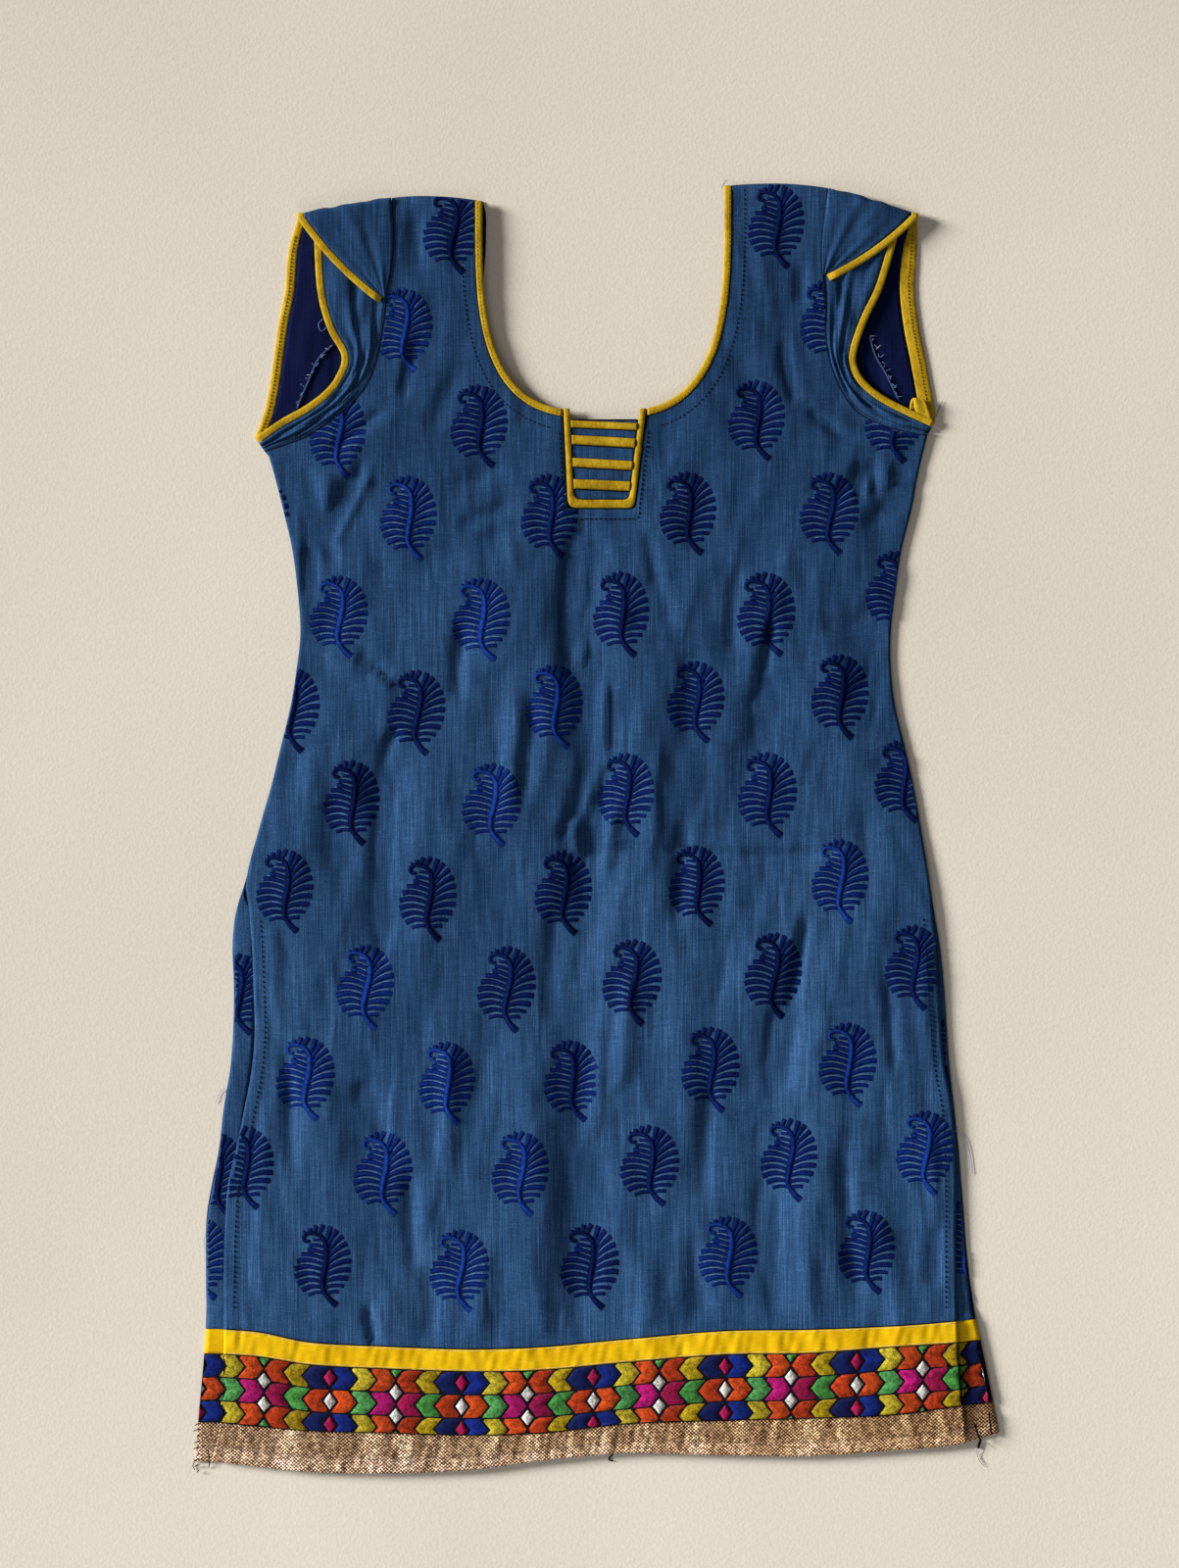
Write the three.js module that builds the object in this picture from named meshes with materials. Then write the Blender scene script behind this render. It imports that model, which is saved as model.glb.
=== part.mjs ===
import * as THREE from "three";

// A kurti laid flat with its front up. Millimetres: x across, y up the garment, z off the surface.
// Left and right are as seen from above. Every piece is a closed wall of cloth.

// Wall thicknesses, and the gap between pieces at a seam
const CLOTH = 1.2;
const TRIM = 1.0;
const GAP = 0.3;

// Bindings: width, and thickness at the rim and along the middle.
// Behind each arm opening the outer petal's binding shows its wider inner side.
const BINDING = { width: 5.0, rim: 1.2, middle: 1.8, behindArm: { left: 6.4, right: 10.4 } };

// Side hems of the back below the slits, turned in over it: they start at the slits' tops
const TURNED_HEM = { width: 15, step: 1.5, thickness: 2.2, topLeft: -44, topRight: -60 };

// Cells of each panel: from a side to the yoke, across the yoke, up the body and up the straps
const FRONT_CELLS = { side: 10, yoke: 4, body: 25, strap: 12, hems: false };
const BACK_CELLS = { side: 5, yoke: 2, body: 20, strap: 12, hems: true };

// Outline from the hem to the underarm. Below the slits the front and the back have their own edges.
const SECTIONS = [
  { y: -460, left: -278, right: 265, backLeft: -287, backRight: 289 },
  { y: -424, left: -268.5, right: 261.5, backLeft: -284.5, backRight: 283 },
  { y: -375, left: -266, right: 257.5, backLeft: -280, backRight: 273.5 },
  { y: -350, left: -266, right: 256.5, backLeft: -278.5, backRight: 268.5 },
  { y: -318, left: -266, right: 256.5, backLeft: -279, backRight: 264.5 },
  { y: -283, left: -265, right: 256.5, backLeft: -278.5, backRight: 262 },
  { y: -257, left: -263, right: 256.5, backLeft: -274.5, backRight: 260 },
  { y: -234, left: -258, right: 256, backLeft: -270, backRight: 258.5 },
  { y: -199, left: -251, right: 253.5, backLeft: -266, backRight: 255 },
  { y: -171, left: -246, right: 248.5, backLeft: -261.5, backRight: 252 },
  { y: -143, left: -244, right: 246, backLeft: -259.5, backRight: 250 },
  { y: -113, left: -245, right: 244, backLeft: -259, backRight: 248 },
  { y: -84, left: -246, right: 242, backLeft: -260, backRight: 245 },
  { y: -60, left: -248, right: 240, backLeft: -257.5, backRight: 241 },
  { y: -37, left: -250, right: 237.5, backLeft: -250.5, backRight: 237.5 },
  { y: 3, left: -240, right: 231, backLeft: -240, backRight: 231 },
  { y: 31, left: -232, right: 226, backLeft: -232, backRight: 226 },
  { y: 60, left: -225, right: 219.5, backLeft: -225, backRight: 219.5 },
  { y: 87, left: -218.5, right: 213, backLeft: -218.5, backRight: 213 },
  { y: 115, left: -214, right: 210, backLeft: -214, backRight: 210 },
  { y: 140, left: -211.5, right: 210, backLeft: -211.5, backRight: 210 },
  { y: 170, left: -213.5, right: 213.5, backLeft: -213.5, backRight: 213.5 },
  { y: 200, left: -217.5, right: 218, backLeft: -217.5, backRight: 218 },
  { y: 228, left: -224, right: 225, backLeft: -224, backRight: 225 },
  { y: 250, left: -229.5, right: 229, backLeft: -229.5, backRight: 229 },
  { y: 281, left: -238.5, right: 236, backLeft: -238.5, backRight: 236 },
];

// The hem dips to the left of the middle: the lower edges of each band across the width
const HEM_LINES = [
  { x: -270, ribbonTop: -357.5, ribbonBottom: -375, borderBottom: -424, laceBottom: -452.5 },
  { x: -240, ribbonTop: -360, ribbonBottom: -377, borderBottom: -427, laceBottom: -456 },
  { x: -205, ribbonTop: -367, ribbonBottom: -382.5, borderBottom: -430, laceBottom: -459.5 },
  { x: -150, ribbonTop: -370, ribbonBottom: -385.5, borderBottom: -431.5, laceBottom: -460.5 },
  { x: -90, ribbonTop: -372, ribbonBottom: -387.5, borderBottom: -433, laceBottom: -458 },
  { x: -40, ribbonTop: -370.5, ribbonBottom: -386.5, borderBottom: -431.5, laceBottom: -451.5 },
  { x: 20, ribbonTop: -365, ribbonBottom: -381, borderBottom: -425, laceBottom: -446 },
  { x: 90, ribbonTop: -359, ribbonBottom: -375.5, borderBottom: -422.5, laceBottom: -447.5 },
  { x: 150, ribbonTop: -358, ribbonBottom: -374.5, borderBottom: -421, laceBottom: -448 },
  { x: 212, ribbonTop: -355.5, ribbonBottom: -370, borderBottom: -418.5, laceBottom: -444 },
  { x: 257, ribbonTop: -352, ribbonBottom: -367, borderBottom: -412.5, laceBottom: -440 },
  { x: 290, ribbonTop: -348, ribbonBottom: -363, borderBottom: -409, laceBottom: -431 },
];
const HEM_MEAN = -364;
const HEM_EASE = { from: -340, to: -150 };

// Armhole seam from the underarm to the shoulder, a row for each section of the sleeves.
// rim is the outer petal's free edge on the silhouette, petal the inner one's round the arm opening.
const ARMHOLE = [
  { leftX: -237, leftY: 269, rightX: 236, rightY: 280 },
  { leftX: -209, leftY: 279, rightX: 209, rightY: 286 },
  { leftX: -191, leftY: 291, rightX: 191, rightY: 294 },
  { leftX: -174, leftY: 305, rightX: 180, rightY: 304.5 },
  { leftX: -162, leftY: 322, rightX: 170.5, rightY: 322 },
  { leftX: -155, leftY: 346, rightX: 164, rightY: 345 },
  { leftX: -150.5, leftY: 378, rightX: 163, rightY: 378 },
  { leftX: -145, leftY: 414, rightX: 160.5, rightY: 414 },
  { leftX: -146, leftY: 450, rightX: 165, rightY: 457 },
];
const RIM = [
  { leftX: -244, leftY: 279, rightX: 241, rightY: 288 },
  { leftX: -240.5, leftY: 288, rightX: 241.5, rightY: 297 },
  { leftX: -236.5, leftY: 300, rightX: 239.5, rightY: 308 },
  { leftX: -233, leftY: 318, rightX: 237, rightY: 322 },
  { leftX: -230.5, leftY: 336, rightX: 234, rightY: 338 },
  { leftX: -227, leftY: 361, rightX: 230, rightY: 358 },
  { leftX: -222.5, leftY: 384, rightX: 227, rightY: 384 },
  { leftX: -220, leftY: 412, rightX: 228.5, rightY: 413 },
  { leftX: -212.5, leftY: 438, rightX: 229, rightY: 438 },
];
const PETAL = [
  { leftX: -244, leftY: 279, rightX: 241.5, rightY: 291 },
  { leftX: -226, leftY: 291.5, rightX: 226, rightY: 298 },
  { leftX: -209, leftY: 301, rightX: 209, rightY: 306.5 },
  { leftX: -195.5, leftY: 311, rightX: 196, rightY: 315.5 },
  { leftX: -186.5, leftY: 322, rightX: 187.5, rightY: 326 },
  { leftX: -182, leftY: 337, rightX: 185.5, rightY: 339 },
  { leftX: -192, leftY: 356, rightX: 193, rightY: 362 },
  { leftX: -199.5, leftY: 385, rightX: 205, rightY: 388 },
  { leftX: -202, leftY: 433, rightX: 218, rightY: 434 },
];
// Where the overlap of the two petals ends: its share of the armhole seam from the underarm,
// the end of the free edge beside it, and how far that edge sags on its way from the shoulder
const OVERLAP = {
  end: { left: 0.75, right: 0.8125 },
  point: { leftX: -156, leftY: 375, rightX: 166.5, rightY: 390.5 },
  sag: 3.5,
};

// Neck opening: a rounded U round its own middle line, carried straight up to the shoulders
const NECK = {
  middle: 4.8, halfWidth: 86.3, bottom: 297.5, turn: { left: 435, right: 440 }, curvedShare: 0.9,
  roundness: { left: 3.1, right: 3 }, shoulder: { left: 447.5, right: 458.5 },
};
// The back's neckline hides under the front's, but for a sliver near the left shoulder.
// Its lowest stretch, between the yoke's posts, is hidden by the insert.
const BACK_NECK = { inset: 0.8, sliver: 3.4, sliverAt: 0.9, sliverReach: 0.16, lowest: 289.5 };

// Yoke cut-out below the neck, its piping frame and the strips across its insert
const YOKE = {
  top: 291, bottom: 228.2, topLeft: -23.5, topRight: 34.6, bottomLeft: -20.6, bottomRight: 27.2,
  postTop: 299.5, postWidth: 4.3, barWidth: 5.8, piping: 2.4,
};
const YOKE_STRIPS = [
  { name: "yoke_strip_1", left: 288.5, right: 286.5, width: 4.8 },
  { name: "yoke_strip_2", left: 277.3, right: 274.8, width: 6.4 },
  { name: "yoke_strip_3", left: 261.1, right: 258.7, width: 6.2 },
  { name: "yoke_strip_4", left: 245.7, right: 244.0, width: 6.6 },
];
// The columns beside the yoke spread out again towards the hem
const YOKE_COLUMNS_AT_HEM = { left: -52, right: 50 };

// Heights of the middle of the front's wall: at its side edges and well inside them
const LEVELS = [
  { y: -465, edge: 4.7, inner: 5.2 },
  { y: -350, edge: 4.7, inner: 5.6 },
  { y: -315, edge: 3.1, inner: 5.4 },
  { y: -44, edge: 3.1, inner: 5.2 },
  { y: -6, edge: 2.1, inner: 5.0 },
  { y: 268, edge: 2.1, inner: 4.8 },
  { y: 300, edge: 3.0, inner: 4.6 },
  { y: 340, edge: 4.2, inner: 4.6 },
  { y: 380, edge: 6.0, inner: 4.8 },
  { y: 460, edge: 6.0, inner: 5.0 },
];
const SIDE_ROLL = 42;
const SHOULDER_ROLL = 9;
const SHOULDER_CROWN = 2.5;
const SEAM_LEVEL = 2.1;

// The largest folds of the front: straight stretches, raised (+) or sunk (-), with half widths
const FOLDS = [
  { x0: -6, y0: 224, x1: -11, y1: 120, width: 16, height: -2.2 },
  { x0: -9, y0: 130, x1: 2, y1: 0, width: 17, height: -2.4 },
  { x0: 2, y0: 12, x1: -15, y1: -110, width: 16, height: -2.2 },
  { x0: -15, y0: -100, x1: -20, y1: -362, width: 18, height: -2.6 },
  { x0: -38, y0: -180, x1: -44, y1: -350, width: 20, height: 2.8 },
  { x0: 30, y0: 180, x1: 38, y1: -60, width: 24, height: 1.8 },
  { x0: -52, y0: 190, x1: -44, y1: -40, width: 24, height: 1.6 },
  { x0: 141, y0: -120, x1: 128, y1: -195, width: 17, height: -2.2 },
  { x0: 126, y0: -190, x1: 120, y1: -350, width: 18, height: -2.4 },
  { x0: 160, y0: -120, x1: 152, y1: -340, width: 22, height: 1.8 },
  { x0: 125, y0: 112, x1: 116, y1: 40, width: 16, height: -1.6 },
  { x0: -216, y0: 264, x1: -194, y1: 206, width: 15, height: -1.6 },
  { x0: -172, y0: 254, x1: -193, y1: 206, width: 15, height: -1.8 },
  { x0: -145, y0: 56, x1: -154, y1: -92, width: 18, height: -2.2 },
  { x0: -120, y0: 60, x1: -128, y1: -120, width: 20, height: 1.6 },
  { x0: -190, y0: 26, x1: -182, y1: -36, width: 16, height: -1.6 },
  { x0: -168, y0: -178, x1: -156, y1: -250, width: 18, height: -1.6 },
  { x0: -198, y0: -190, x1: -186, y1: -330, width: 20, height: 1.6 },
  { x0: 196, y0: 160, x1: 190, y1: 118, width: 15, height: -1.5 },
  { x0: 214, y0: -200, x1: 222, y1: -330, width: 18, height: -1.6 },
];

// Heights of the sleeves' layers: middle of the wall on the armhole seam and on the free edge
const SLEEVE = {
  backSeam: 0.65, backRim: 1.1,
  innerBackSeam: 2.25, innerBackRim: 2.85,
  frontSeamLow: 2.1, frontSeamHigh: 5.0, frontRimLow: 3.3, frontRimHigh: 5.0,
  lowY: 272, highY: 372,
  overInner: 2.1,
};
const FOLD_STEPS = 4;
const PETAL_CELLS = 4;

const COLOURS = {
  cloth: 0x3a5f8c, binding: 0xc2a21f, ribbon: 0xf0c818, border: 0x9a4a30, lace: 0xa98766,
};

const SIDES = [
  { name: "left", sign: -1, x: "leftX", y: "leftY" },
  { name: "right", sign: 1, x: "rightX", y: "rightY" },
];

const mix = THREE.MathUtils.lerp;
const point = (x, y, z = 0) => new THREE.Vector3(x, y, z);

function smooth(t) {
  const s = THREE.MathUtils.clamp(t, 0, 1);
  return s * s * (3 - 2 * s);
}

// Straight interpolation down one column of a table
function level(table, key, column, place) {
  let i = 0;
  while (i < table.length - 2 && place > table[i + 1][key]) i += 1;
  const [a, b] = [table[i], table[i + 1]];
  const t = THREE.MathUtils.clamp((place - a[key]) / (b[key] - a[key]), 0, 1);
  return mix(a[column], b[column], t);
}

// The same on a smooth curve through the rows
function along(table, key, column, place) {
  const last = table.length - 1;
  let i = 0;
  while (i < last - 1 && place > table[i + 1][key]) i += 1;
  const slope = (j) => {
    const [a, b] = [table[Math.max(j - 1, 0)], table[Math.min(j + 1, last)]];
    return (b[column] - a[column]) / (b[key] - a[key]);
  };
  const span = table[i + 1][key] - table[i][key];
  const t = THREE.MathUtils.clamp((place - table[i][key]) / span, 0, 1);
  const h = t * t * (3 - 2 * t);
  const ease = t * (1 - t) * (1 - t) * span * slope(i) - t * t * (1 - t) * span * slope(i + 1);
  return mix(table[i][column], table[i + 1][column], h) + ease;
}

// A place on a table of points, by its share of the rows from the first to the last
function onCurve(table, side, share) {
  const rows = table.map((row, i) => ({ i, x: row[side.x], y: row[side.y] }));
  const place = share * (rows.length - 1);
  return point(along(rows, "i", "x", place), along(rows, "i", "y", place));
}

function leftEdge(y) {
  return y < 281 ? along(SECTIONS, "y", "left", y) : level(ARMHOLE, "leftY", "leftX", y);
}

function rightEdge(y) {
  return y < 281 ? along(SECTIONS, "y", "right", y) : level(ARMHOLE, "rightY", "rightX", y);
}

function shoulderTop(x) {
  return (x < 0 ? ARMHOLE.at(-1).leftY : ARMHOLE.at(-1).rightY) + SHOULDER_CROWN;
}

// Height of one fold at a place: a soft bell across it that dies out at its ends
function foldHeight(fold, x, y) {
  const start = point(fold.x0, fold.y0);
  const run = point(fold.x1, fold.y1).sub(start);
  const here = point(x, y).sub(start);
  const share = THREE.MathUtils.clamp(here.dot(run) / run.lengthSq(), 0, 1);
  const away = here.distanceTo(run.clone().multiplyScalar(share));
  const ends = 0.25 + 0.75 * smooth(Math.min(share, 1 - share) * 5);
  return fold.height * ends * Math.exp(-((away / fold.width) ** 2));
}

function frontHeight(x, y) {
  const fromSide = Math.min(x - leftEdge(y), rightEdge(y) - x);
  const inside = smooth(fromSide / SIDE_ROLL);
  const flat = mix(level(LEVELS, "y", "edge", y), level(LEVELS, "y", "inner", y), inside);
  const folds = FOLDS.reduce((sum, fold) => sum + foldHeight(fold, x, y), 0);
  const overHem = smooth((y + 425) / 70);
  const lofted = Math.max(flat + folds * inside * overHem, level(LEVELS, "y", "edge", y));
  return mix(SEAM_LEVEL, lofted, smooth((shoulderTop(x) - y) / SHOULDER_ROLL));
}

// The back lies on the surface, and steps up over its own border pieces
function backHeight(x, y) {
  const flat = CLOTH / 2;
  const over = TRIM + GAP + CLOTH / 2;
  return mix(over, flat, smooth((y - along(HEM_LINES, "x", "ribbonTop", x) - 1) / 8));
}

// Faces of a grid of points stored row by row, without the cells that skip() names
function gridFaces(rows, columns, skip = () => false) {
  const faces = [];
  for (let r = 0; r < rows - 1; r += 1) {
    for (let c = 0; c < columns - 1; c += 1) {
      const a = r * columns + c;
      if (!skip(r, c)) faces.push([a, a + 1, a + columns + 1, a + columns]);
    }
  }
  return faces;
}

// A closed wall round a sheet: each point moves out to both sides by its half thickness,
// and a rim closes every edge that only one face uses.
function wall(points, faces, halves) {
  const positions = [];
  for (const side of [1, -1]) {
    points.forEach((p, i) => positions.push(...p.clone().addScaledVector(halves[i], side).toArray()));
  }
  const n = points.length;
  const indices = [];
  const free = new Map();
  for (const face of faces) {
    for (let k = 1; k < face.length - 1; k += 1) {
      indices.push(face[0], face[k], face[k + 1]);
      indices.push(n + face[0], n + face[k + 1], n + face[k]);
    }
    face.forEach((a, k) => {
      const b = face[(k + 1) % face.length];
      if (!free.delete(`${b} ${a}`)) free.set(`${a} ${b}`, [a, b]);
    });
  }
  for (const [a, b] of free.values()) indices.push(b, a, n + a, b, n + a, n + b);
  return compact(positions, indices);
}

// Leaves out the points that no face uses
function compact(positions, indices) {
  const places = new Map();
  const kept = [];
  const renumbered = indices.map((i) => {
    if (!places.has(i)) {
      places.set(i, kept.length / 3);
      kept.push(positions[3 * i], positions[3 * i + 1], positions[3 * i + 2]);
    }
    return places.get(i);
  });
  const geometry = new THREE.BufferGeometry();
  geometry.setAttribute("position", new THREE.Float32BufferAttribute(kept, 3));
  geometry.setIndex(renumbered);
  geometry.computeVertexNormals();
  return geometry;
}

const upright = (points, thickness) => points.map(() => point(0, 0, thickness / 2));

// Normals of a grid, times half a thickness that may change along the columns
function gridHalves(points, columns, thicknesses) {
  const rows = points.length / columns;
  const at = (r, c) => points[
    THREE.MathUtils.clamp(r, 0, rows - 1) * columns + THREE.MathUtils.clamp(c, 0, columns - 1)];
  return points.map((_, i) => {
    const [r, c] = [Math.floor(i / columns), i % columns];
    const across = at(r, c + 1).clone().sub(at(r, c - 1));
    const down = at(r + 1, c).clone().sub(at(r - 1, c));
    return across.cross(down).normalize().multiplyScalar(thicknesses[c] / 2);
  });
}

// The neckline, from 0 at the yoke's post to 1 at the shoulder, on its side of the opening
function neckline(side, share) {
  const post = yokeColumn(YOKE.postTop, side.sign) + side.sign * 2 * GAP;
  const power = 2 / NECK.roundness[side.name];
  const turn = NECK.turn[side.name];
  const start = Math.asin((Math.abs(post - NECK.middle) / NECK.halfWidth) ** (1 / power));
  const angle = mix(start, Math.PI / 2, Math.min(share / NECK.curvedShare, 1));
  const x = NECK.middle + side.sign * NECK.halfWidth * Math.sin(angle) ** power;
  const curved = turn - (turn - NECK.bottom) * Math.max(Math.cos(angle), 0) ** power;
  const up = Math.max((share - NECK.curvedShare) / (1 - NECK.curvedShare), 0);
  return point(x, curved + up * (NECK.shoulder[side.name] - turn));
}

// A place set back from the neckline into the cloth, straight down where it meets the post
function besideNeckline(side, share, distance) {
  if (share === 0) return neckline(side, 0).sub(point(0, distance));
  const step = 0.004;
  const tangent = neckline(side, Math.min(share + step, 1)).sub(neckline(side, Math.max(share - step, 0)));
  const outward = point(side.sign * tangent.y, -side.sign * tangent.x).normalize();
  return neckline(side, share).addScaledVector(outward, distance);
}

const BODY_ARMHOLE_ROWS = 2;
const ARMHOLE_ROWS = ARMHOLE.length - 1;
const strapShare = (k, cells) => mix(BODY_ARMHOLE_ROWS / ARMHOLE_ROWS, 1, k / cells.strap);

// Sides of the yoke's cut-out, and of the columns that run down from it
function yokeColumn(y, side) {
  const [top, bottom] = side < 0 ? [YOKE.topLeft, YOKE.bottomLeft] : [YOKE.topRight, YOKE.bottomRight];
  const hem = side < 0 ? YOKE_COLUMNS_AT_HEM.left : YOKE_COLUMNS_AT_HEM.right;
  if (y >= YOKE.bottom) return mix(bottom, top, (y - YOKE.bottom) / (YOKE.top - YOKE.bottom));
  return mix(bottom, hem, (YOKE.bottom - y) / (YOKE.bottom - HEM_MEAN));
}

function bodyRow(y, edges, cells) {
  const ends = [
    point(along(SECTIONS, "y", edges.left, y), y), point(yokeColumn(y, -1), y),
    point(yokeColumn(y, 1), y), point(along(SECTIONS, "y", edges.right, y), y)];
  return spread(ends, cells);
}

// Shares of the way from a side edge to the yoke, with two columns close in where a hem is turned
function sideShares(length, cells) {
  if (!cells.hems) return Array.from({ length: cells.side + 1 }, (_, c) => c / cells.side);
  const hem = [TURNED_HEM.width / length, (TURNED_HEM.width + TURNED_HEM.step) / length];
  const rest = cells.side - 2;
  return [0, hem[0], ...Array.from({ length: rest + 1 }, (_, c) => mix(hem[1], 1, c / rest))];
}

// Points from the left end through both yoke columns to the right end
function spread(ends, cells) {
  const left = sideShares(ends[0].distanceTo(ends[1]), cells);
  const middle = Array.from({ length: cells.yoke - 1 }, (_, c) => (c + 1) / cells.yoke);
  const right = sideShares(ends[3].distanceTo(ends[2]), cells).reverse();
  return [
    ...left.map((share) => ends[0].clone().lerp(ends[1], share)),
    ...middle.map((share) => ends[1].clone().lerp(ends[2], share)),
    ...right.map((share) => ends[3].clone().lerp(ends[2], share)),
  ];
}

function hemRow(line, edges, cells) {
  const mean = HEM_LINES.reduce((sum, row) => sum + row[line] / HEM_LINES.length, 0);
  return bodyRow(mean, edges, cells).map((p) => point(p.x, along(HEM_LINES, "x", line, p.x)));
}

// One panel: rows from the hem to the neck, then the left and the right strap.
// neckInset says how far the cloth stops short of the neckline; only the front has the cut-out.
function panel(edges, cells, neckInset, cutOut) {
  const rows = ["borderBottom", "ribbonBottom", "ribbonTop"].map((line) => hemRow(line, edges, cells));
  for (let r = 0; r <= cells.body; r += 1) {
    const y = mix(HEM_EASE.from, YOKE.bottom, r / cells.body);
    const ease = 1 - smooth((y - HEM_EASE.from) / (HEM_EASE.to - HEM_EASE.from));
    rows.push(bodyRow(y, edges, cells).map((p) => {
      const dip = along(HEM_LINES, "x", "ribbonTop", p.x) - HEM_MEAN;
      return point(p.x, p.y + dip * ease);
    }));
  }
  const cutFrom = rows.length - 1;
  rows.push(bodyRow(mix(YOKE.bottom, ARMHOLE[0].leftY, 0.5), edges, cells));
  for (let k = 0; k < BODY_ARMHOLE_ROWS; k += 1) {
    const [left, right] = SIDES.map((side) => onCurve(ARMHOLE, side, k / ARMHOLE_ROWS));
    const y = mix(left.y, right.y, 0.5);
    rows.push(spread([left, point(yokeColumn(y, -1), y), point(yokeColumn(y, 1), y), right], cells));
  }
  const [left, right] = SIDES.map((side) => onCurve(ARMHOLE, side, strapShare(0, cells)));
  const corners = SIDES.map((side) => (cutOut
    ? besideNeckline(side, 0, neckInset(side, 0))
    : point(yokeColumn(BACK_NECK.lowest, side.sign), BACK_NECK.lowest)));
  rows.push(spread([left, ...corners, right], cells));
  const columns = rows[0].length;
  const points = rows.flat();
  const faces = gridFaces(rows.length, columns, (r, c) => (
    cutOut && r >= cutFrom && c >= cells.side && c < cells.side + cells.yoke));
  addStraps(points, faces, (rows.length - 1) * columns, cells, neckInset);
  return { points, faces, columns };
}

function addStraps(points, faces, topRow, cells, neckInset) {
  const width = cells.side + 1;
  for (const side of SIDES) {
    const first = side.sign < 0 ? topRow : topRow + cells.side + cells.yoke;
    const shares = Array.from({ length: width }, (_, c) => c / cells.side);
    let below = shares.map((_, c) => first + c);
    for (let k = 1; k <= cells.strap; k += 1) {
      const seam = onCurve(ARMHOLE, side, strapShare(k, cells));
      const share = k / cells.strap;
      const neck = besideNeckline(side, share, neckInset(side, share));
      const [from, to] = side.sign < 0 ? [seam, neck] : [neck, seam];
      const above = shares.map((across) => {
        const crown = SHOULDER_CROWN * 4 * across * (1 - across) * share ** 3;
        return points.push(from.clone().lerp(to, across).add(point(0, crown))) - 1;
      });
      for (let c = 0; c < cells.side; c += 1) faces.push([below[c], below[c + 1], above[c + 1], above[c]]);
      below = above;
    }
  }
}

function makeFront() {
  const net = panel({ left: "left", right: "right" }, FRONT_CELLS, () => BINDING.width + GAP, true);
  net.points.forEach((p) => p.setZ(frontHeight(p.x, p.y)));
  return net;
}

function backNeckInset(side, share) {
  if (side.sign > 0) return BACK_NECK.inset;
  const near = smooth(1 - Math.abs(share - BACK_NECK.sliverAt) / BACK_NECK.sliverReach);
  return BACK_NECK.inset - BACK_NECK.sliver * near;
}

// The back is two layers thick along its turned hems below the slits
function makeBack() {
  const net = panel({ left: "backLeft", right: "backRight" }, BACK_CELLS, backNeckInset, false);
  net.halves = net.points.map((p) => {
    const fromLeft = p.x - along(SECTIONS, "y", "backLeft", p.y);
    const fromRight = along(SECTIONS, "y", "backRight", p.y) - p.x;
    const reach = TURNED_HEM.width + TURNED_HEM.step / 2;
    const turned = (p.y < TURNED_HEM.topLeft && fromLeft < reach)
      || (p.y < TURNED_HEM.topRight && fromRight < reach);
    const thickness = turned ? TURNED_HEM.thickness : CLOTH;
    p.setZ(backHeight(p.x, p.y) + (thickness - CLOTH) / 2);
    return point(0, 0, thickness / 2);
  });
  return net;
}

// A strip of the hem made from a panel's own columns: rows at the given lines, moved out
function hemStrip(edges, cells, lines, thickness, lift) {
  const rows = lines.map(({ line, inset }) => (
    hemRow(line, edges, cells).map((p) => point(p.x, p.y + inset))));
  const points = rows.flat();
  points.forEach((p) => p.setZ(lift(p.x, p.y)));
  return wall(points, gridFaces(rows.length, rows[0].length), upright(points, thickness));
}

const group = new THREE.Group();

function add(name, colour, geometry, roughness = 0.85, metalness = 0) {
  const mesh = new THREE.Mesh(geometry, new THREE.MeshStandardMaterial({
    color: colour, roughness, metalness, side: THREE.DoubleSide }));
  mesh.name = name;
  group.add(mesh);
}

function addPanels() {
  const front = makeFront();
  add("front", COLOURS.cloth, wall(front.points, front.faces, upright(front.points, CLOTH)));
  const back = makeBack();
  add("back", COLOURS.cloth, wall(back.points, back.faces, back.halves));
}

function addHem() {
  const bands = [
    { name: "ribbon", colour: COLOURS.ribbon, top: "ribbonTop", bottom: "ribbonBottom" },
    { name: "border", colour: COLOURS.border, top: "ribbonBottom", bottom: "borderBottom" },
  ];
  const panels = [
    { name: "front", edges: { left: "left", right: "right" }, cells: FRONT_CELLS,
      over: (x, y) => frontHeight(x, y) + CLOTH / 2 + GAP + TRIM / 2, end: frontHeight },
    { name: "back", edges: { left: "backLeft", right: "backRight" }, cells: BACK_CELLS,
      over: () => TRIM / 2, end: () => TRIM / 2 },
  ];
  for (const { name, edges, cells, over, end } of panels) {
    for (const band of bands) {
      const lines = [{ line: band.bottom, inset: GAP / 2 }, { line: band.top, inset: -GAP / 2 }];
      add(`${name}_${band.name}`, band.colour, hemStrip(edges, cells, lines, TRIM, over), 0.6);
    }
    const lines = [{ line: "laceBottom", inset: 0 }, { line: "borderBottom", inset: -GAP }];
    add(`${name}_lace`, COLOURS.lace, hemStrip(edges, cells, lines, TRIM, end), 0.45, 0.4);
  }
}

// A binding: a strip between a free edge and a line set back from it, thicker along its middle
function binding(edge, inward, widths) {
  const columns = 3;
  const points = edge.flatMap((p, i) => (
    [0, 0.5, 1].map((share) => p.clone().addScaledVector(inward[i], share * widths[i]))));
  const halves = gridHalves(points, columns, [BINDING.rim, BINDING.middle, BINDING.rim]);
  return wall(points, gridFaces(edge.length, columns), halves);
}

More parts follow.
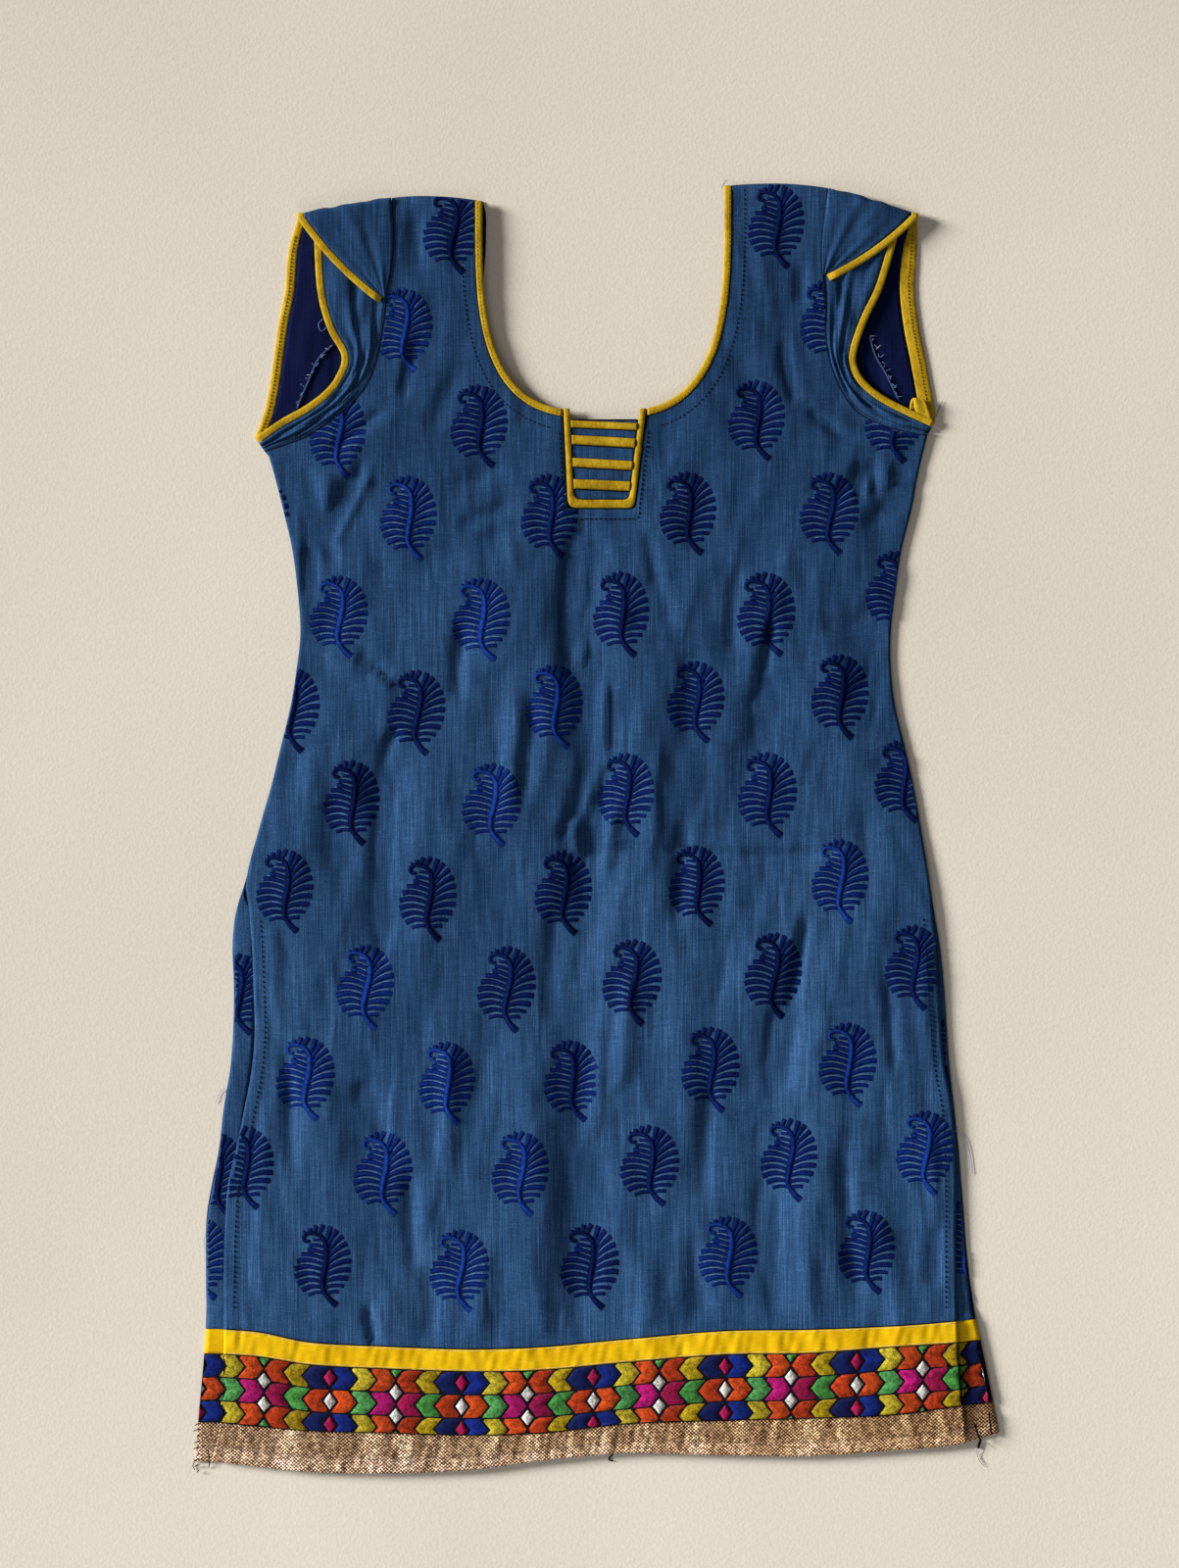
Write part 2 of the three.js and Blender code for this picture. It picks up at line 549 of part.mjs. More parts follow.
function addNeckBindings() {
  for (const side of SIDES) {
    const edge = [];
    const inward = [];
    for (let k = 0; k <= FRONT_CELLS.strap; k += 1) {
      const share = k / FRONT_CELLS.strap;
      const [rim, inner] = [0, BINDING.width].map((d) => besideNeckline(side, share, d));
      [rim, inner].forEach((p) => p.setZ(frontHeight(inner.x, inner.y) + GAP));
      edge.push(rim);
      inward.push(inner.sub(rim).divideScalar(BINDING.width));
    }
    const widths = edge.map(() => BINDING.width);
    add(`neck_binding_${side.name}`, COLOURS.binding, binding(edge, inward, widths));
  }
}

// Sections of one petal, each from the armhole seam to the free edge, with the edge's inward direction
function petalSections(side, layers) {
  const sections = [];
  const section = (seam, edge, seamZ, edgeZ, width = BINDING.width) => {
    sections.push({ seam: seam.clone().setZ(seamZ), edge: edge.clone().setZ(edgeZ), width });
  };
  const shares = [];
  for (let k = 0; k < BODY_ARMHOLE_ROWS; k += 1) shares.push(k / ARMHOLE_ROWS);
  for (let k = 0; k <= FRONT_CELLS.strap; k += 1) shares.push(strapShare(k, FRONT_CELLS));
  const top = { seam: onCurve(ARMHOLE, side, 1), edge: onCurve(layers.rim, side, 1) };
  const outward = point(top.edge.y - top.seam.y, top.seam.x - top.edge.x).normalize();
  if (outward.y < 0) outward.negate();
  const beforeTop = shares.at(-2);
  const pulled = (curve, share) => {
    const here = onCurve(curve, side, share);
    if (share < 1) return here;
    return here.addScaledVector(onCurve(curve, side, beforeTop).sub(here).normalize(), layers.reach);
  };
  for (const share of shares) {
    const [seam, edge] = [pulled(ARMHOLE, share), pulled(layers.rim, share)];
    const wide = smooth(Math.min(share, 1 - share) * 6);
    section(seam, edge, layers.firstSeam(seam.y), layers.firstEdge(edge.y),
      mix(BINDING.width, layers.bindingWidth[side.name], wide));
  }
  const last = sections[sections.length - 1];
  const end = { seam: layers.secondSeam, edge: layers.secondEdge };
  for (let k = 1; k < FOLD_STEPS; k += 1) {
    const angle = (Math.PI * k) / FOLD_STEPS;
    const bulge = outward.clone().multiplyScalar(layers.radius * Math.sin(angle));
    const rise = (1 - Math.cos(angle)) / 2;
    section(last.seam.clone().add(bulge), last.edge.clone().add(bulge),
      mix(last.seam.z, end.seam, rise), mix(last.edge.z, end.edge, rise));
  }
  const closing = shares.filter((share) => share >= OVERLAP.end[side.name]).reverse();
  const tip = point(OVERLAP.point[side.x], OVERLAP.point[side.y]);
  closing.forEach((share, k) => {
    const seam = pulled(ARMHOLE, share);
    const t = k / (closing.length - 1);
    const edge = last.edge.clone().setZ(0).lerp(tip, t);
    edge.add(point(side.sign, -1).multiplyScalar(OVERLAP.sag * 4 * t * (1 - t) * Math.SQRT1_2));
    section(seam, edge, end.seam, end.edge);
  });
  return sections;
}

// Directions along the cloth from the free edge towards the seam, square to the edge,
// evened out between neighbouring sections
function inwardDirections(sections) {
  const square = sections.map(({ seam, edge }, i) => {
    const before = sections[Math.max(i - 1, 0)].edge;
    const after = sections[Math.min(i + 1, sections.length - 1)].edge;
    const tangent = after.clone().sub(before).normalize();
    const across = seam.clone().sub(edge);
    return across.addScaledVector(tangent, -across.dot(tangent)).normalize();
  });
  return square.map((direction, i) => {
    const [before, after] = [square[Math.max(i - 1, 0)], square[Math.min(i + 1, square.length - 1)]];
    return direction.clone().multiplyScalar(2).add(before).add(after).normalize();
  });
}

function addPetal(side, name, layers) {
  const sections = petalSections(side, layers);
  const inward = inwardDirections(sections);
  const columns = PETAL_CELLS + 1;
  const points = sections.flatMap(({ seam, edge, width }, i) => {
    const from = edge.clone().addScaledVector(inward[i], width + GAP);
    const to = seam.clone().addScaledVector(edge.clone().sub(seam).normalize(), GAP);
    return Array.from({ length: columns }, (_, c) => from.clone().lerp(to, c / PETAL_CELLS));
  });
  const halves = gridHalves(points, columns, new Array(columns).fill(CLOTH));
  add(`sleeve_${side.name}_${name}`, COLOURS.cloth, wall(points, gridFaces(sections.length, columns), halves));
  const edges = sections.map(({ edge }) => edge);
  const widths = sections.map(({ width }) => width);
  add(`binding_${side.name}_${name}`, COLOURS.binding, binding(edges, inward, widths));
}

function addSleeves() {
  const rise = (low, high) => (y) => mix(low, high, smooth((y - SLEEVE.lowY) / (SLEEVE.highY - SLEEVE.lowY)));
  const outerTop = SLEEVE.frontSeamHigh + SLEEVE.overInner;
  const outer = {
    rim: RIM, firstSeam: () => SLEEVE.backSeam, firstEdge: () => SLEEVE.backRim,
    secondSeam: outerTop, secondEdge: outerTop,
    radius: (outerTop - SLEEVE.backSeam) / 2, reach: (outerTop - SLEEVE.backSeam) / 2,
    bindingWidth: BINDING.behindArm,
  };
  const innerRadius = (SLEEVE.frontSeamHigh - SLEEVE.innerBackSeam) / 2;
  const inner = {
    rim: PETAL, firstSeam: rise(SLEEVE.frontSeamLow, SLEEVE.frontSeamHigh),
    firstEdge: rise(SLEEVE.frontRimLow, SLEEVE.frontRimHigh),
    secondSeam: SLEEVE.innerBackSeam, secondEdge: SLEEVE.innerBackRim,
    radius: innerRadius, reach: outer.radius,
    bindingWidth: { left: BINDING.width, right: BINDING.width },
  };
  for (const side of SIDES) {
    addPetal(side, "outer", outer);
    addPetal(side, "inner", inner);
  }
}

// The yoke's insert lies in the cut-out inside its piping
function yokeEdge(y, side, inset) {
  return yokeColumn(y, side) - side * inset;
}

function addYoke() {
  const postInset = YOKE.postWidth + 2 * GAP;
  const bottom = YOKE.bottom + YOKE.barWidth + 2 * GAP;
  const insertRow = (y) => [0, 0.5, 1].map((share) => {
    const x = mix(yokeEdge(y, -1, postInset), yokeEdge(y, 1, postInset), share);
    return point(x, y, frontHeight(x, y));
  });
  const rows = [bottom, mix(bottom, YOKE.top, 0.5), YOKE.top].map(insertRow);
  const insert = rows.flat();
  add("yoke_insert", COLOURS.cloth, wall(insert, gridFaces(rows.length, 3), upright(insert, CLOTH)));
  addYokeFrame();
  for (const strip of YOKE_STRIPS) {
    const strips = [-0.5, 0.5].map((half) => [0, 0.5, 1].map((share) => {
      const y = mix(strip.left, strip.right, share) + half * strip.width;
      const x = mix(yokeEdge(y, -1, postInset + GAP), yokeEdge(y, 1, postInset + GAP), share);
      return point(x, y, frontHeight(x, y) + CLOTH / 2 + GAP + TRIM / 2);
    }));
    const points = strips.flat();
    add(strip.name, COLOURS.binding, wall(points, gridFaces(2, 3), upright(points, TRIM)));
  }
}

// Piping down the left post, along the bottom and up the right post, mitred at the corners
function addYokeFrame() {
  const ys = [YOKE.postTop, mix(YOKE.postTop, YOKE.bottom, 0.5)];
  const line = (inset, bottomInset) => {
    const low = YOKE.bottom + bottomInset;
    return [
      ...ys.map((y) => point(yokeEdge(y, -1, inset), y)), point(yokeEdge(low, -1, inset), low),
      point(mix(yokeEdge(low, -1, inset), yokeEdge(low, 1, inset), 0.5), low),
      point(yokeEdge(low, 1, inset), low), ...ys.map((y) => point(yokeEdge(y, 1, inset), y)).reverse()];
  };
  const outer = line(GAP, GAP);
  const inner = line(GAP + YOKE.postWidth, GAP + YOKE.barWidth);
  const points = outer.flatMap((p, i) => [p, p.clone().lerp(inner[i], 0.5), inner[i]]);
  points.forEach((p) => p.setZ(frontHeight(p.x, Math.min(p.y, YOKE.top)) + GAP));
  const halves = points.map((_, i) => point(0, 0, (i % 3 === 1 ? YOKE.piping : CLOTH) / 2));
  const faces = gridFaces(outer.length, 3).map((face) => face.reverse());
  add("yoke_frame", COLOURS.binding, wall(points, faces, halves));
}

addPanels();
addHem();
addNeckBindings();
addSleeves();
addYoke();

export default group;
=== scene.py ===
import math

import bpy
import numpy as np
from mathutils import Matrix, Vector
from mathutils.bvhtree import BVHTree


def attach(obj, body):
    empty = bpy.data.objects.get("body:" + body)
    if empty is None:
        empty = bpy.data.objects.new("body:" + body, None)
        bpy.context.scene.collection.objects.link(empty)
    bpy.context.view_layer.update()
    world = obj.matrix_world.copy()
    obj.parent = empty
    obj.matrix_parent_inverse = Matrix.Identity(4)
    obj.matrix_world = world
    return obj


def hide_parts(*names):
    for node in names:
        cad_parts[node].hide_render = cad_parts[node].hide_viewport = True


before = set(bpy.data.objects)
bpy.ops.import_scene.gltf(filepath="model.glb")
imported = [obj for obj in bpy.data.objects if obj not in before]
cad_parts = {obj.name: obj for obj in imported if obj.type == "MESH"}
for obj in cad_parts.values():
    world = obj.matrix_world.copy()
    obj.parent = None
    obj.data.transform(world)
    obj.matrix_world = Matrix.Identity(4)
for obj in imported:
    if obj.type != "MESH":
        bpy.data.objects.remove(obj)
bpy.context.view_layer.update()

# A kurti laid flat, front up. Shapes are worked out in millimetres in the CAD frame,
# and turned into metres where a mesh is made.
MM = 0.001
CLOTH_HALF = 0.25
SLIT_HEM = 8.5
GAP = 0.3
SIDES = ((-1, "left"), (1, "right"))

# Photograph: millimetres to a pixel, and the pixel over the origin
PHOTO = {"scale": 0.70, "x": 608.75, "y": 845.0}


def from_photo(points):
    p = np.array(points, float).reshape(-1, 2)
    return np.column_stack([(p[:, 0] - PHOTO["x"]), (PHOTO["y"] - p[:, 1])]) * PHOTO["scale"]


# Tables of the form

# y, front's left and right, back's left and right
SECTIONS = np.array([
    (-460, -278, 265, -287, 289), (-424, -268.5, 261.5, -284.5, 283),
    (-375, -266, 257.5, -280, 273.5), (-350, -266, 256.5, -278.5, 268.5),
    (-318, -266, 256.5, -279, 264.5), (-283, -265, 256.5, -278.5, 262),
    (-257, -263, 256.5, -274.5, 260), (-234, -258, 256, -270, 258.5),
    (-199, -251, 253.5, -266, 255), (-171, -246, 248.5, -261.5, 252),
    (-143, -244, 246, -259.5, 250), (-113, -245, 244, -259, 248),
    (-84, -246, 242, -260, 245), (-60, -248, 240, -257.5, 241),
    (-37, -250, 237.5, -250.5, 237.5), (3, -240, 231, -240, 231),
    (31, -232, 226, -232, 226), (60, -225, 219.5, -225, 219.5),
    (87, -218.5, 213, -218.5, 213), (115, -214, 210, -214, 210),
    (140, -211.5, 210, -211.5, 210), (170, -213.5, 213.5, -213.5, 213.5),
    (200, -217.5, 218, -217.5, 218), (228, -224, 225, -224, 225),
    (250, -229.5, 229, -229.5, 229), (281, -238.5, 236, -238.5, 236),
])
# x, ribbon's top and bottom, border's bottom, lace's bottom
HEM = np.array([
    (-270, -357.5, -375, -424, -452.5), (-240, -360, -377, -427, -456),
    (-205, -367, -382.5, -430, -459.5), (-150, -370, -385.5, -431.5, -460.5),
    (-90, -372, -387.5, -433, -458), (-40, -370.5, -386.5, -431.5, -451.5),
    (20, -365, -381, -425, -446), (90, -359, -375.5, -422.5, -447.5),
    (150, -358, -374.5, -421, -448), (212, -355.5, -370, -418.5, -444),
    (257, -352, -367, -412.5, -440), (290, -348, -363, -409, -431),
])
RIBBON_TOP, RIBBON_BOTTOM, BORDER_BOTTOM, LACE_BOTTOM = 1, 2, 3, 4
# Columns of a panel's left and right sides
FRONT, BACK = (1, 2), (3, 4)
# The y above which a side edge is an armhole
UNDERARM = 281
# The ribbon's top on average, and the heights between which the rows change from its curve to level
HEM_MEAN = -364
HEM_EASE = (-340, -150)

# Left x, y and right x, y from the underarm to the shoulder
ARMHOLE = np.array([
    (-237, 269, 236, 280), (-209, 279, 209, 286), (-191, 291, 191, 294),
    (-174, 305, 180, 304.5), (-162, 322, 170.5, 322), (-155, 346, 164, 345),
    (-150.5, 378, 163, 378), (-145, 414, 160.5, 414), (-146, 450, 165, 457),
])
RIM = np.array([
    (-244, 279, 241, 288), (-240.5, 288, 241.5, 297), (-236.5, 300, 239.5, 308),
    (-233, 318, 237, 322), (-230.5, 336, 234, 338), (-227, 361, 230, 358),
    (-222.5, 384, 227, 384), (-220, 412, 228.5, 413), (-212.5, 438, 229, 438),
])
PETAL = np.array([
    (-244, 279, 241.5, 291), (-226, 291.5, 226, 298), (-209, 301, 209, 306.5),
    (-195.5, 311, 196, 315.5), (-186.5, 322, 187.5, 326), (-182, 337, 185.5, 339),
    (-192, 356, 193, 362), (-199.5, 385, 205, 388), (-202, 433, 218, 434),
])
# Outer petals come down over the front as far as this share of the armhole, to this point
OVERLAP_END = {-1: 0.75, 1: 0.8125}
OVERLAP_POINT = {-1: (-156, 375), 1: (166.5, 390.5)}
OVERLAP_SAG = 3.5
# Heights of an outer petal's seam at the back and on the front, and of its edge at the back
PETAL_LOW, PETAL_HIGH, PETAL_EDGE = 0.65, 7.1, 1.1
# Heights of an inner petal's seam and edge at the underarm, at the shoulder, and where they end
INNER_LOW, INNER_TOP, INNER_END = (2.1, 3.3), 5.0, (2.25, 2.85)
# The share of the armhole where the petals turn over the shoulder, and the rows in the turn
PETAL_TURN, TURN_STEPS = 0.9375, 10
# Shares of the armhole where the panels' rows start to rise to the neck, and where the straps start
LEVEL_TO, STRAPS_FROM = 0.125, 0.25

NECK_MIDDLE = 4.8
NECK_HALF = 86.3
NECK_BOTTOM = 297.5
NECK_TURN = {-1: 435, 1: 440}
NECK_ROUND = {-1: 3.1, 1: 3.0}
NECK_SHOULDER = {-1: 447.5, 1: 458.5}
# Share of the neckline that is curved, and over which its outward direction turns from straight down
NECK_CURVED, NECK_TURNS, NECK_STEP = 0.9, 0.03, 0.004
BACK_LOWEST = 289.5
BINDING = 5.0
# Across a binding and the yoke's piping, the free edge first: shares and half thicknesses there
BINDING_SHARES = np.array([0, 0.08, 0.25, 0.5, 0.72, 0.9, 1.0])
BINDING_PROFILE = np.array([0.12, 0.45, 0.75, 0.85, 0.62, 0.7, 0.35])
PIPING_SHARES = np.array([0, 0.1, 0.3, 0.5, 0.7, 0.9, 1.0])
PIPING_PROFILE = [0.2, 0.65, 0.95, 1.05, 0.95, 0.65, 0.2]
BEHIND_ARM = {-1: 6.4, 1: 10.4}

YOKE_TOP, YOKE_BOTTOM = 291, 228.2
YOKE_AT_TOP = {-1: -23.5, 1: 34.6}
YOKE_AT_BOTTOM = {-1: -20.6, 1: 27.2}
YOKE_AT_HEM = {-1: -52, 1: 50}
POST_TOP, POST_WIDTH, BAR_WIDTH = 299.5, 4.3, 5.8
YOKE_STRIPS = [(288.5, 286.5, 4.8), (277.3, 274.8, 6.4), (261.1, 258.7, 6.2), (245.7, 244.0, 6.6)]

# y, height of the front at its side edges and inside them
LEVELS = np.array([
    (-465, 4.7, 5.2), (-350, 4.7, 5.6), (-315, 3.1, 5.4), (-44, 3.1, 5.2), (-6, 2.1, 5.0),
    (268, 2.1, 4.8), (300, 3.0, 4.6), (340, 4.2, 4.6), (380, 6.0, 4.8), (460, 6.0, 5.0),
])

SHOULDER_Z = 2.1
# Top of the front on the left and right, and the length over which it goes down to the seam
FRONT_TOP, SHOULDER_ROLL = (452.5, 459.5), 9
# Main folds are full this far inside the edge, small ones this far
EDGE_ROLL, NEAR_EDGE = 42, 12
# Folds grow from this y, over this length
HEM_FADE = (-425, 70)
# Where the slits' turned hems end, and how far their cloth stands up
SLIT_TOP, SLIT_RISE = -46, 0.5
# Ripples of the front's cloth: height, seed, waves, lengths in x and y
FRONT_RIPPLES = (0.5, 11, 9, 40, 150), (0.18, 12, 10, 17, 60), (0.16, 13, 8, 60, 22)
MAIN_GAIN, FINE_GAIN, CREASE_GAIN = 1.3, 2.8, 3.6

# Folds: x0, y0, x1, y1, half width, height. The first lot are the solid's own.
MAIN_FOLDS = np.array([
    (-6, 224, -11, 120, 16, -2.2), (-9, 130, 2, 0, 17, -2.4), (2, 12, -15, -110, 16, -2.2),
    (-15, -100, -20, -362, 18, -2.6), (-38, -180, -44, -350, 20, 2.8), (30, 180, 38, -60, 24, 1.8),
    (-52, 190, -44, -40, 24, 1.6), (141, -120, 128, -195, 17, -2.2), (126, -190, 120, -350, 18, -2.4),
    (160, -120, 152, -340, 22, 1.8), (125, 112, 116, 40, 16, -1.6), (-216, 264, -194, 206, 15, -1.6),
    (-172, 254, -193, 206, 15, -1.8), (-145, 56, -154, -92, 18, -2.2), (-120, 60, -128, -120, 20, 1.6),
    (-190, 26, -182, -36, 16, -1.6), (-168, -178, -156, -250, 18, -1.6),
    (-198, -190, -186, -330, 20, 1.6), (196, 160, 190, 118, 15, -1.5), (214, -200, 222, -330, 18, -1.6),
], float)
# Smaller creases, which run nearly to the edges
FINE_FOLDS = np.array([
    (-214, 262, -196, 208, 6, -1.1), (-170, 250, -192, 208, 6, -1.2), (-206, 200, -209, 158, 7, -0.9),
    (-172, 123, -151, 113, 7, -0.9), (-190, 23, -182, -36, 8, -1.0), (-146, 54, -153, -90, 8, -1.1),
    (-168, -178, -158, -207, 6, -0.8), (-159, -346, -157, -368, 5, -1.2), (196, 156, 193, 128, 7, -1.1),
    (-9, 222, -11, 122, 6, -1.2), (-8, 120, -3, 62, 7, -1.1), (-3, 60, 2, 14, 6, -1.1),
    (2, 10, -14, -108, 6, -0.9), (-22, -224, -10, -364, 6, -1.2), (2, -200, -2, -320, 7, -1.0),
    (-40, -330, -38, -362, 7, 1.0), (140, -131, 128, -190, 6, -1.1), (119, -252, 128, -352, 7, -1.2),
    (124, 111, 117, 54, 7, -0.9), (33, -17, 163, -22, 4, -0.7), (-131, 440, -124, 397, 6, -0.6),
    (146, 400, 146, 372, 6, -0.9), (242, -283, 240, -329, 5, -1.0), (-110, 430, -104, 380, 7, 0.3),
    (120, 436, 118, 380, 8, 0.4), (100, 340, 120, 290, 8, -0.7), (-96, 330, -120, 280, 8, -0.7),
    (-60, 262, -110, 240, 7, -0.6), (66, 258, 120, 236, 7, -0.6), (200, 262, 170, 236, 6, -0.9),
    (222, 240, 190, 214, 6, -0.8), (-222, 232, -176, 226, 6, -0.8), (-200, 150, -160, 150, 7, -0.6),
    (200, 140, 160, 146, 7, -0.7), (-205, 120, -170, 96, 7, -0.6), (206, 112, 176, 92, 7, -0.6),
    (-225, 40, -200, 60, 7, -0.7), (222, 30, 198, 52, 7, -0.6), (-232, -60, -226, -150, 6, 0.7),
    (232, -80, 238, -180, 6, 0.7), (-236, -200, -238, -300, 6, 0.6), (238, -210, 243, -300, 6, 0.5),
    (-210, -300, -206, -356, 8, -0.8), (-120, -310, -116, -366, 8, -0.8), (-80, -290, -84, -364, 8, 0.8),
    (40, -300, 36, -360, 8, 0.9), (70, -290, 74, -354, 8, -0.9), (150, -300, 152, -352, 7, 0.9),
    (184, -296, 186, -350, 8, -0.7), (210, -300, 214, -348, 7, 0.6), (-70, 120, -66, 40, 10, -0.6),
    (70, 130, 64, 50, 10, -0.6), (-100, 20, -96, -60, 11, 0.6), (90, -40, 84, -130, 11, -0.6),
    (-76, -120, -82, -200, 11, -0.7), (60, -130, 66, -220, 11, 0.7), (190, 20, 196, -60, 10, -0.7),
    (180, -160, 186, -230, 10, -0.6), (-210, 70, -204, 20, 9, 0.6), (20, 150, 60, 150, 6, -0.5),
    (-60, 210, -130, 190, 8, -0.5), (70, 205, 140, 196, 8, -0.5), (84, 90, 150, 84, 6, -0.5),
    (-120, -20, -60, -26, 6, -0.4), (60, -84, 110, -80, 6, -0.4), (-190, -110, -140, -116, 6, -0.4),
    (150, -250, 200, -246, 6, -0.4), (-90, -250, -50, -246, 6, -0.4),
], float)
# Sharp creases round the waist, over the hem and beside the armholes
CREASES = np.array([
    (-17, 202, -19, 112, 6, -1.8), (-10, 200, -12, 112, 3.6, 1.5), (-2, 110, -4, 52, 4.2, -2.0),
    (4.5, 108, 3, 50, 3.6, 1.4), (-4, 52, -14, 18, 4, -1.9), (3, 50, -6, 16, 3.4, 1.3),
    (-14, 18, -24, -4, 4, -1.6), (4, 16, -10, -32, 4.6, -2.3), (-20, 10, -14, -22, 5, 1.3),
    (12, 12, 6, -34, 4, 1.0),
    (-24, 2, -17, -24, 3.4, -1.1), (-161, 118, -147, 107, 3.6, -1.3), (-160, 111, -146, 101, 4, 0.8),
    (-216, 258, -198, 208, 4, -1.6), (-168, 260, -193, 208, 3.6, -1.7), (-192, 254, -194, 222, 6, 1.1),
    (-150, 60, -153, -96, 4.5, -1.2), (-142, 30, -146, -60, 5, 0.8), (-8, -226, -4, -330, 4.5, -1.2),
    (128, -128, 122, -176, 4, -1.2), (120, 60, 114, 96, 4, -1.0), (196, 128, 199, 96, 4, -1.0),
    (-164, -342, -160, -366, 3, -1.4), (-157, -344, -154, -366, 3, 0.9), (-170, -186, -150, -222, 4, -1.0),
    (-45, 100, -52, 20, 6, -0.8), (-58, 90, -64, 0, 7, 0.7), (62, 10, 58, -70, 6, -0.8),
    (44, 60, 38, -20, 6, 0.7), (-96, 150, -100, 90, 6, -0.7), (100, 190, 96, 120, 6, -0.7),
    (-30, -60, -34, -150, 6, -0.8), (22, -100, 18, -190, 6, 0.8), (80, -180, 76, -270, 7, -0.8),
    (-104, -150, -108, -240, 7, 0.8), (-134, -240, -130, -320, 6, -0.9), (176, -220, 180, -310, 6, -0.8),
    (-222, -150, -216, -250, 5, -0.8), (206, -100, 214, -180, 5, -0.8),
    (132, 350, 142, 300, 5, -0.8), (-128, 352, -140, 304, 5, -0.8), (150, 300, 190, 268, 5, -0.8),
    (-150, 300, -188, 270, 5, -0.7), (-236, 244, -214, 236, 4, -0.9), (232, 262, 208, 250, 4, -0.9),
    (230, 246, 204, 240, 4, -0.8), (-60, 232, -100, 214, 5, -0.6), (36, 214, 44, 170, 5, -0.7),
    (10, -12, 100, -20, 3.4, -1.0), (100, -20, 168, -18, 3.4, -0.9),
    (-6, -120, -14, -226, 4.5, -1.1), (4, -130, -4, -226, 3.6, 0.8), (150, -60, 138, -130, 4.5, -1.1),
    (-161, 256, -187, 206, 4, 1.0), (-206, 204, -205, 164, 3.5, -1.2), (-213, 206, -212, 164, 4, 1.3),
    (-194, 206, -187, 190, 4, -1.2), (198, 262, 199, 236, 3.5, -0.8), (186, 264, 188, 232, 3.5, -0.8),
    (208, 258, 210, 232, 3.5, 0.6), (126, 150, 118, 108, 4, -1.0), (-144, 72, -150, 52, 4, -1.0),
], float)

# Centres of the embroidered leaves on the front and on the back, in pixels of the photograph
LEAVES = [
    (462, 238), (792, 232), (412, 338), (845, 330), (345, 445), (489, 436), (772, 430), (912, 431),
    (417, 530), (561, 528), (702, 525), (846, 525), (346, 630), (491, 633), (634, 628), (782, 628),
    (912, 605), (297, 725), (425, 728), (566, 722), (710, 717), (857, 712), (359, 820), (502, 822),
    (639, 812), (783, 812), (921, 798), (291, 910), (437, 918), (575, 912), (711, 905), (857, 900),
    (373, 1008), (517, 1010), (645, 1003), (789, 996), (932, 988), (312, 1101), (456, 1106),
    (583, 1104), (725, 1092), (865, 1087), (250, 1192), (391, 1198), (531, 1198), (663, 1190),
    (805, 1184), (944, 1177), (330, 1292), (469, 1297), (602, 1293), (743, 1283), (884, 1278),
    (266, 531),
]
BACK_LEAVES = [(243, 1015), (222, 1200), (205, 1285), (968, 1085), (985, 1270)]
# Places in the first list of the leaves with a bright rib
BRIGHT_RIBS = {2, 4, 8, 12, 13, 19, 23, 31, 32, 37, 38, 41, 43, 44, 47, 49, 51}

# Half width of a leaf's rib by its share of the length
RIB_HALVES = [0, 0.05, 0.13, 0.3, 0.55, 0.7, 0.85, 1], [2.6, 2.2, 1.7, 2.4, 2.3, 1.7, 1.3, 1.0]

# Where silver threads shimmer in the woven strip: x, half width, strength
SILVER_PATCHES = [
    (-222, 9, 0.9), (-160, 7, 0.9), (-138, 7, 0.8), (-112, 5, 0.5), (-76, 6, 0.8), (-46, 5, 0.6),
    (2, 7, 0.8), (34, 5, 0.5), (70, 8, 0.7), (104, 5, 0.6), (152, 9, 0.9), (176, 6, 0.7), (216, 6, 0.4),
    (-200, 3, 0.4), (-95, 3, 0.4), (-20, 3, 0.5), (128, 3, 0.4), (244, 5, 0.3),
]
LACE_FOOT, LACE_UPPER = np.array([1.12, 1.0, 0.98]), np.array([0.66, 0.55, 0.44])
LACE_GOLDEN, LACE_SHINE = np.array([1.03, 0.94, 0.76]), np.array([1.5, 2.0, 2.7])
# Shares of the lace's height: its folded foot's ridge and crease, and where the upper part starts. Along
# the crease the colour is darkened with painted shade.
LACE_RIDGE, LACE_CREASE, LACE_FOLD = 0.4, 0.38, 0.36
# How far the trims and the embroidery stand over the front's cloth
RIBBON_LIFT, BORDER_LIFT, LACE_LIFT, EMBROIDERY_LIFT = 1.35, 1.25, 0.2, 1.5

# The embroidered band: half a repeat, its first hexagon in the photograph, a row's height, and the
# fields outwards from a hexagon's middle, each side at its ends and at its point
HALF_PERIOD = 47.0
FIRST_HEXAGON = 605.5
BAND_ROW = 16.8
FIELDS = np.array([((0.1, 6.0), (13.0, 19.4)), ((13.7, 20.3), (26.9, 33.3)), ((27.7, 34.2), (41.4, 46.9))])
FIELD_GAP = np.array([(0, 0), (0.2, 0.2)])
FIELD_ENDS = (0.012, 0.988)
# Half widths of the small diamonds at A and B, and of the triangles
GEM_A, GEM_B, TRIANGLE = 4.5, 4.8, 4.6

# Turned hems: width, and ends by side
FLAP = 15.0
# The turned trims are so much wider than the hem
FLAP_WIDER, BAND_WIDER = 1.4, 1.3
FLAP_BOTTOM = -352
FLAP_TOP = {-1: -44, 1: -60}

# The folded end of binding, in pixels of the photograph: two edges and the height along them
LOOP_NEAR = [(934, 420), (932.4, 414), (931.8, 409), (931.2, 407), (929.6, 408.5), (928.4, 413),
             (928.2, 418)]
LOOP_FAR = [(950.5, 428), (947.4, 418), (944.2, 410.5), (941.6, 406.8), (937, 408), (934, 412),
            (932.6, 418)]
LOOP_Z = [3.4, 4.6, 5.6, 5.4, 4.4, 3.9, 3.2]


# Curves and heights

def mix(a, b, t):
    return a + (b - a) * t


def smooth(t):
    t = np.clip(t, 0, 1)
    return t * t * (3 - 2 * t)


